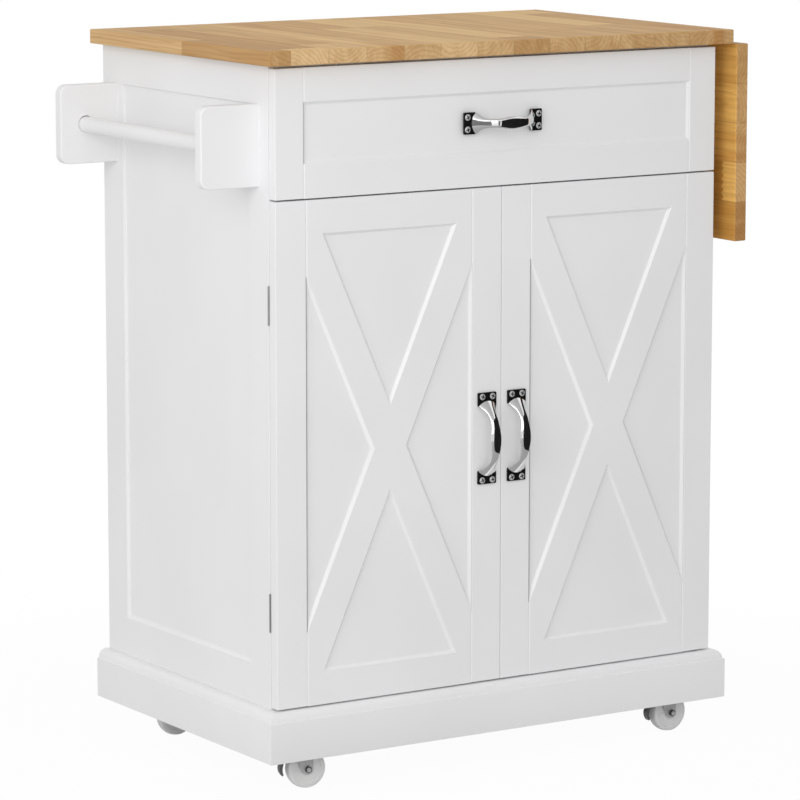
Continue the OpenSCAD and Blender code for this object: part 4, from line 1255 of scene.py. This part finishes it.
CAMERA_PLACE = (-2.8384, -4.4561, 1.2918)
CAMERA_TILT = math.radians(9.191)
CAMERA_TURN = math.radians(32.494)
CAMERA_LENS = 188.11
SENSOR_WIDTH = 36
FLOOR_REACH = 3.2
FLOOR_FADE = (0.5, 1.2)
FLOOR_TONE = srgb(222, 222, 222)
FLOOR_SHINE = 0.1
FLOOR_WHITE_SHARE = 0.965
WORLD_LIGHT = 0.63


def camera():
    data = bpy.data.cameras.new("camera")
    data.lens = CAMERA_LENS
    data.sensor_width = SENSOR_WIDTH
    eye = in_scene("camera", data)
    eye.location = CAMERA_PLACE
    eye.rotation_euler = (QUARTER_TURN - CAMERA_TILT, 0, -CAMERA_TURN)
    bpy.context.scene.camera = eye


def facing_towards(place, aim):
    """The turn of a lamp or card at a place that looks at an aim."""
    return (Vector(aim) - Vector(place)).to_track_quat("-Z", "Y")


def lamp(name, place, aim, size, power):
    data = bpy.data.lights.new(name, "AREA")
    data.shape = "RECTANGLE"
    data.size, data.size_y = size
    data.energy = power
    light = in_scene(name, data)
    light.location = place
    light.rotation_euler = facing_towards(place, aim).to_euler()


def tree_maths(tree, operation, first, second):
    """Adds a Math node over two inputs, each a socket or a number."""
    node = tree.nodes.new("ShaderNodeMath")
    node.operation = operation
    for socket, value in zip(node.inputs, (first, second)):
        if isinstance(value, bpy.types.NodeSocket):
            tree.links.new(value, socket)
        else:
            socket.default_value = value
    return node.outputs[0]


def seen_white(tree, lit, share):
    """Mixes a lit shader with plain white where the camera, a gloss or a glass looks at it."""
    rays = tree.nodes.new("ShaderNodeLightPath").outputs
    seen = tree_maths(tree, "MAXIMUM", rays["Is Camera Ray"], rays["Is Glossy Ray"])
    seen = tree_maths(tree, "MAXIMUM", seen, rays["Is Transmission Ray"])
    white = tree.nodes.new("ShaderNodeEmission")
    mixed = tree.nodes.new("ShaderNodeMixShader")
    tree.links.new(tree_maths(tree, "MULTIPLY", seen, share), mixed.inputs[0])
    tree.links.new(lit, mixed.inputs[1])
    tree.links.new(white.outputs[0], mixed.inputs[2])
    return mixed.outputs[0]


def floor():
    shape = bmesh.new()
    bmesh.ops.create_circle(shape, cap_ends=True, segments=96, radius=FLOOR_REACH)
    ground = object_from("floor", shape)
    shader = Shader("floor")
    shader.set(base_color=FLOOR_TONE, roughness=0.9)
    shader.shine(FLOOR_SHINE)
    x, y, z = shader.parts(shader.place())
    away = (x * x + y * y) ** 0.5
    share = away.within(*FLOOR_FADE) * (1 - FLOOR_WHITE_SHARE) + FLOOR_WHITE_SHARE
    mixed = seen_white(shader.tree, shader.surface.outputs[0], share.socket)
    shader.tree.links.new(mixed, shader.tree.nodes["Material Output"].inputs[0])
    ground.data.materials.append(shader.material)


def card(name, place, aim, size, tone):
    """A card outside the view that only bright metal shows."""
    shape = bmesh.new()
    turn = facing_towards(place, aim).to_matrix().to_4x4()
    scale = Matrix.Diagonal((size[0] / 2, size[1] / 2, 1, 1))
    bmesh.ops.create_grid(shape, x_segments=1, y_segments=1, size=1,
                          matrix=Matrix.Translation(place) @ turn @ scale)
    board = object_from(name, shape)
    shader = Shader(name)
    shader.set(base_color=(tone, tone, tone, 1), roughness=1.0)
    board.data.materials.append(shader.shine(0))
    board.visible_camera = False
    board.visible_diffuse = False
    board.visible_shadow = False
    board.visible_transmission = False


PULLS_MIDDLE = (0.02, -0.21, 0.58)
STANDS_AIM = (0.02, -0.21, 0.8)


def cards():
    """The dark side of the room, a grey floor, a pale ceiling and two stands, for the pulls."""
    card("dark_wall", place=(0.57, -0.655, 0.58), aim=PULLS_MIDDLE, size=(1.42, 1.14), tone=0.02)
    card("grey_floor", place=(-0.2, -1.45, 0.002), aim=(-0.2, -1.45, -1), size=(3.4, 2.4), tone=0.5)
    card("ceiling", place=(-0.2, -1.2, 2.4), aim=(-0.2, -1.2, 0), size=(3.0, 1.8), tone=0.75)
    card("near_stand", place=(-0.03, -2.22, 0.8), aim=STANDS_AIM, size=(0.25, 1.3), tone=0.25)
    card("left_stand", place=(-1.37, -1.65, 0.8), aim=STANDS_AIM, size=(0.56, 1.3), tone=0.3)


def world():
    room = bpy.data.worlds.new("room")
    room.use_nodes = True
    bpy.context.scene.world = room
    lit = room.node_tree.nodes["Background"]
    lit.inputs[0].default_value = (1, 1, 1, 1)
    lit.inputs[1].default_value = WORLD_LIGHT
    mixed = seen_white(room.node_tree, lit.outputs[0], 1.0)
    room.node_tree.links.new(mixed, room.node_tree.nodes["World Output"].inputs[0])


def stage():
    camera()
    world()
    floor()
    cards()
    lamp("left_window", place=(-3.0, -1.7, 1.7), aim=(-0.1, 0, 0.5), size=(2.0, 2.0), power=31)
    lamp("front_window", place=(-1.5, -3.3, 1.6), aim=(0, 0, 0.4), size=(2.2, 1.8), power=22)
    bpy.context.scene.view_settings.view_transform = "Standard"


# ------------------ the island


OWN_FINISHES = {
    "base_battens": "white_paint",
    "drawer_back": "drawer_back_wood",
    "door_left_hinge_leaves": "hinge_painted_shade",
    "door_right_hinge_leaves": "hinge_painted_shade",
    "door_hinge_frame_leaves": "hinge_painted_shade",
    "door_hinge_pins": "hinge_painted_shade",
}


def dress_nodes(frame, finishes):
    """Gives every node of the frame its own finish, or else that of its slot in the record."""
    for subpart in frame["record"]["subparts"]:
        finish = finishes[OWN_FINISHES.get(subpart["node"], subpart["material_slot"])]
        node = frame["nodes"][subpart["node"]]
        for slot in node.material_slots:
            slot.material = finish


def main():
    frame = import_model()
    finishes = all_finishes()
    dress_nodes(frame, finishes)
    paint = finishes["white_paint"]
    wooden_board("worktop_board", "worktop", "cabinet", finishes["butcher_block"])
    wooden_board("leaf_board", "drop_leaf", "leaf", finishes["leaf_wood"])
    for side in ("left", "right"):
        side_panel(side, paint)
    drawer_front(paint)
    for side in ("left", "right"):
        door(side, paint)
    plinth(paint)
    towel_bracket("towel_bracket_front", 1, paint)
    towel_bracket("towel_bracket_rear", -1, paint)
    towel_bar(paint)
    for body in ("drawer", "door_left", "door_right"):
        pull(body + "_pull", body, finishes)
    hinge_finials(finishes["hinge_painted_shade"])
    for corner in ("front_left", "front_right", "rear_left", "rear_right"):
        turn = CASTER_TURN if corner == "front_left" else 0
        wheel(corner, turn, finishes["wheel_plastic"])
        fork(corner, turn, corner.startswith("front"), finishes)
    brake_lever("left", CASTER_TURN, finishes["brake_steel"])
    brake_lever("right", 0, finishes["brake_steel"])
    stage()


main()
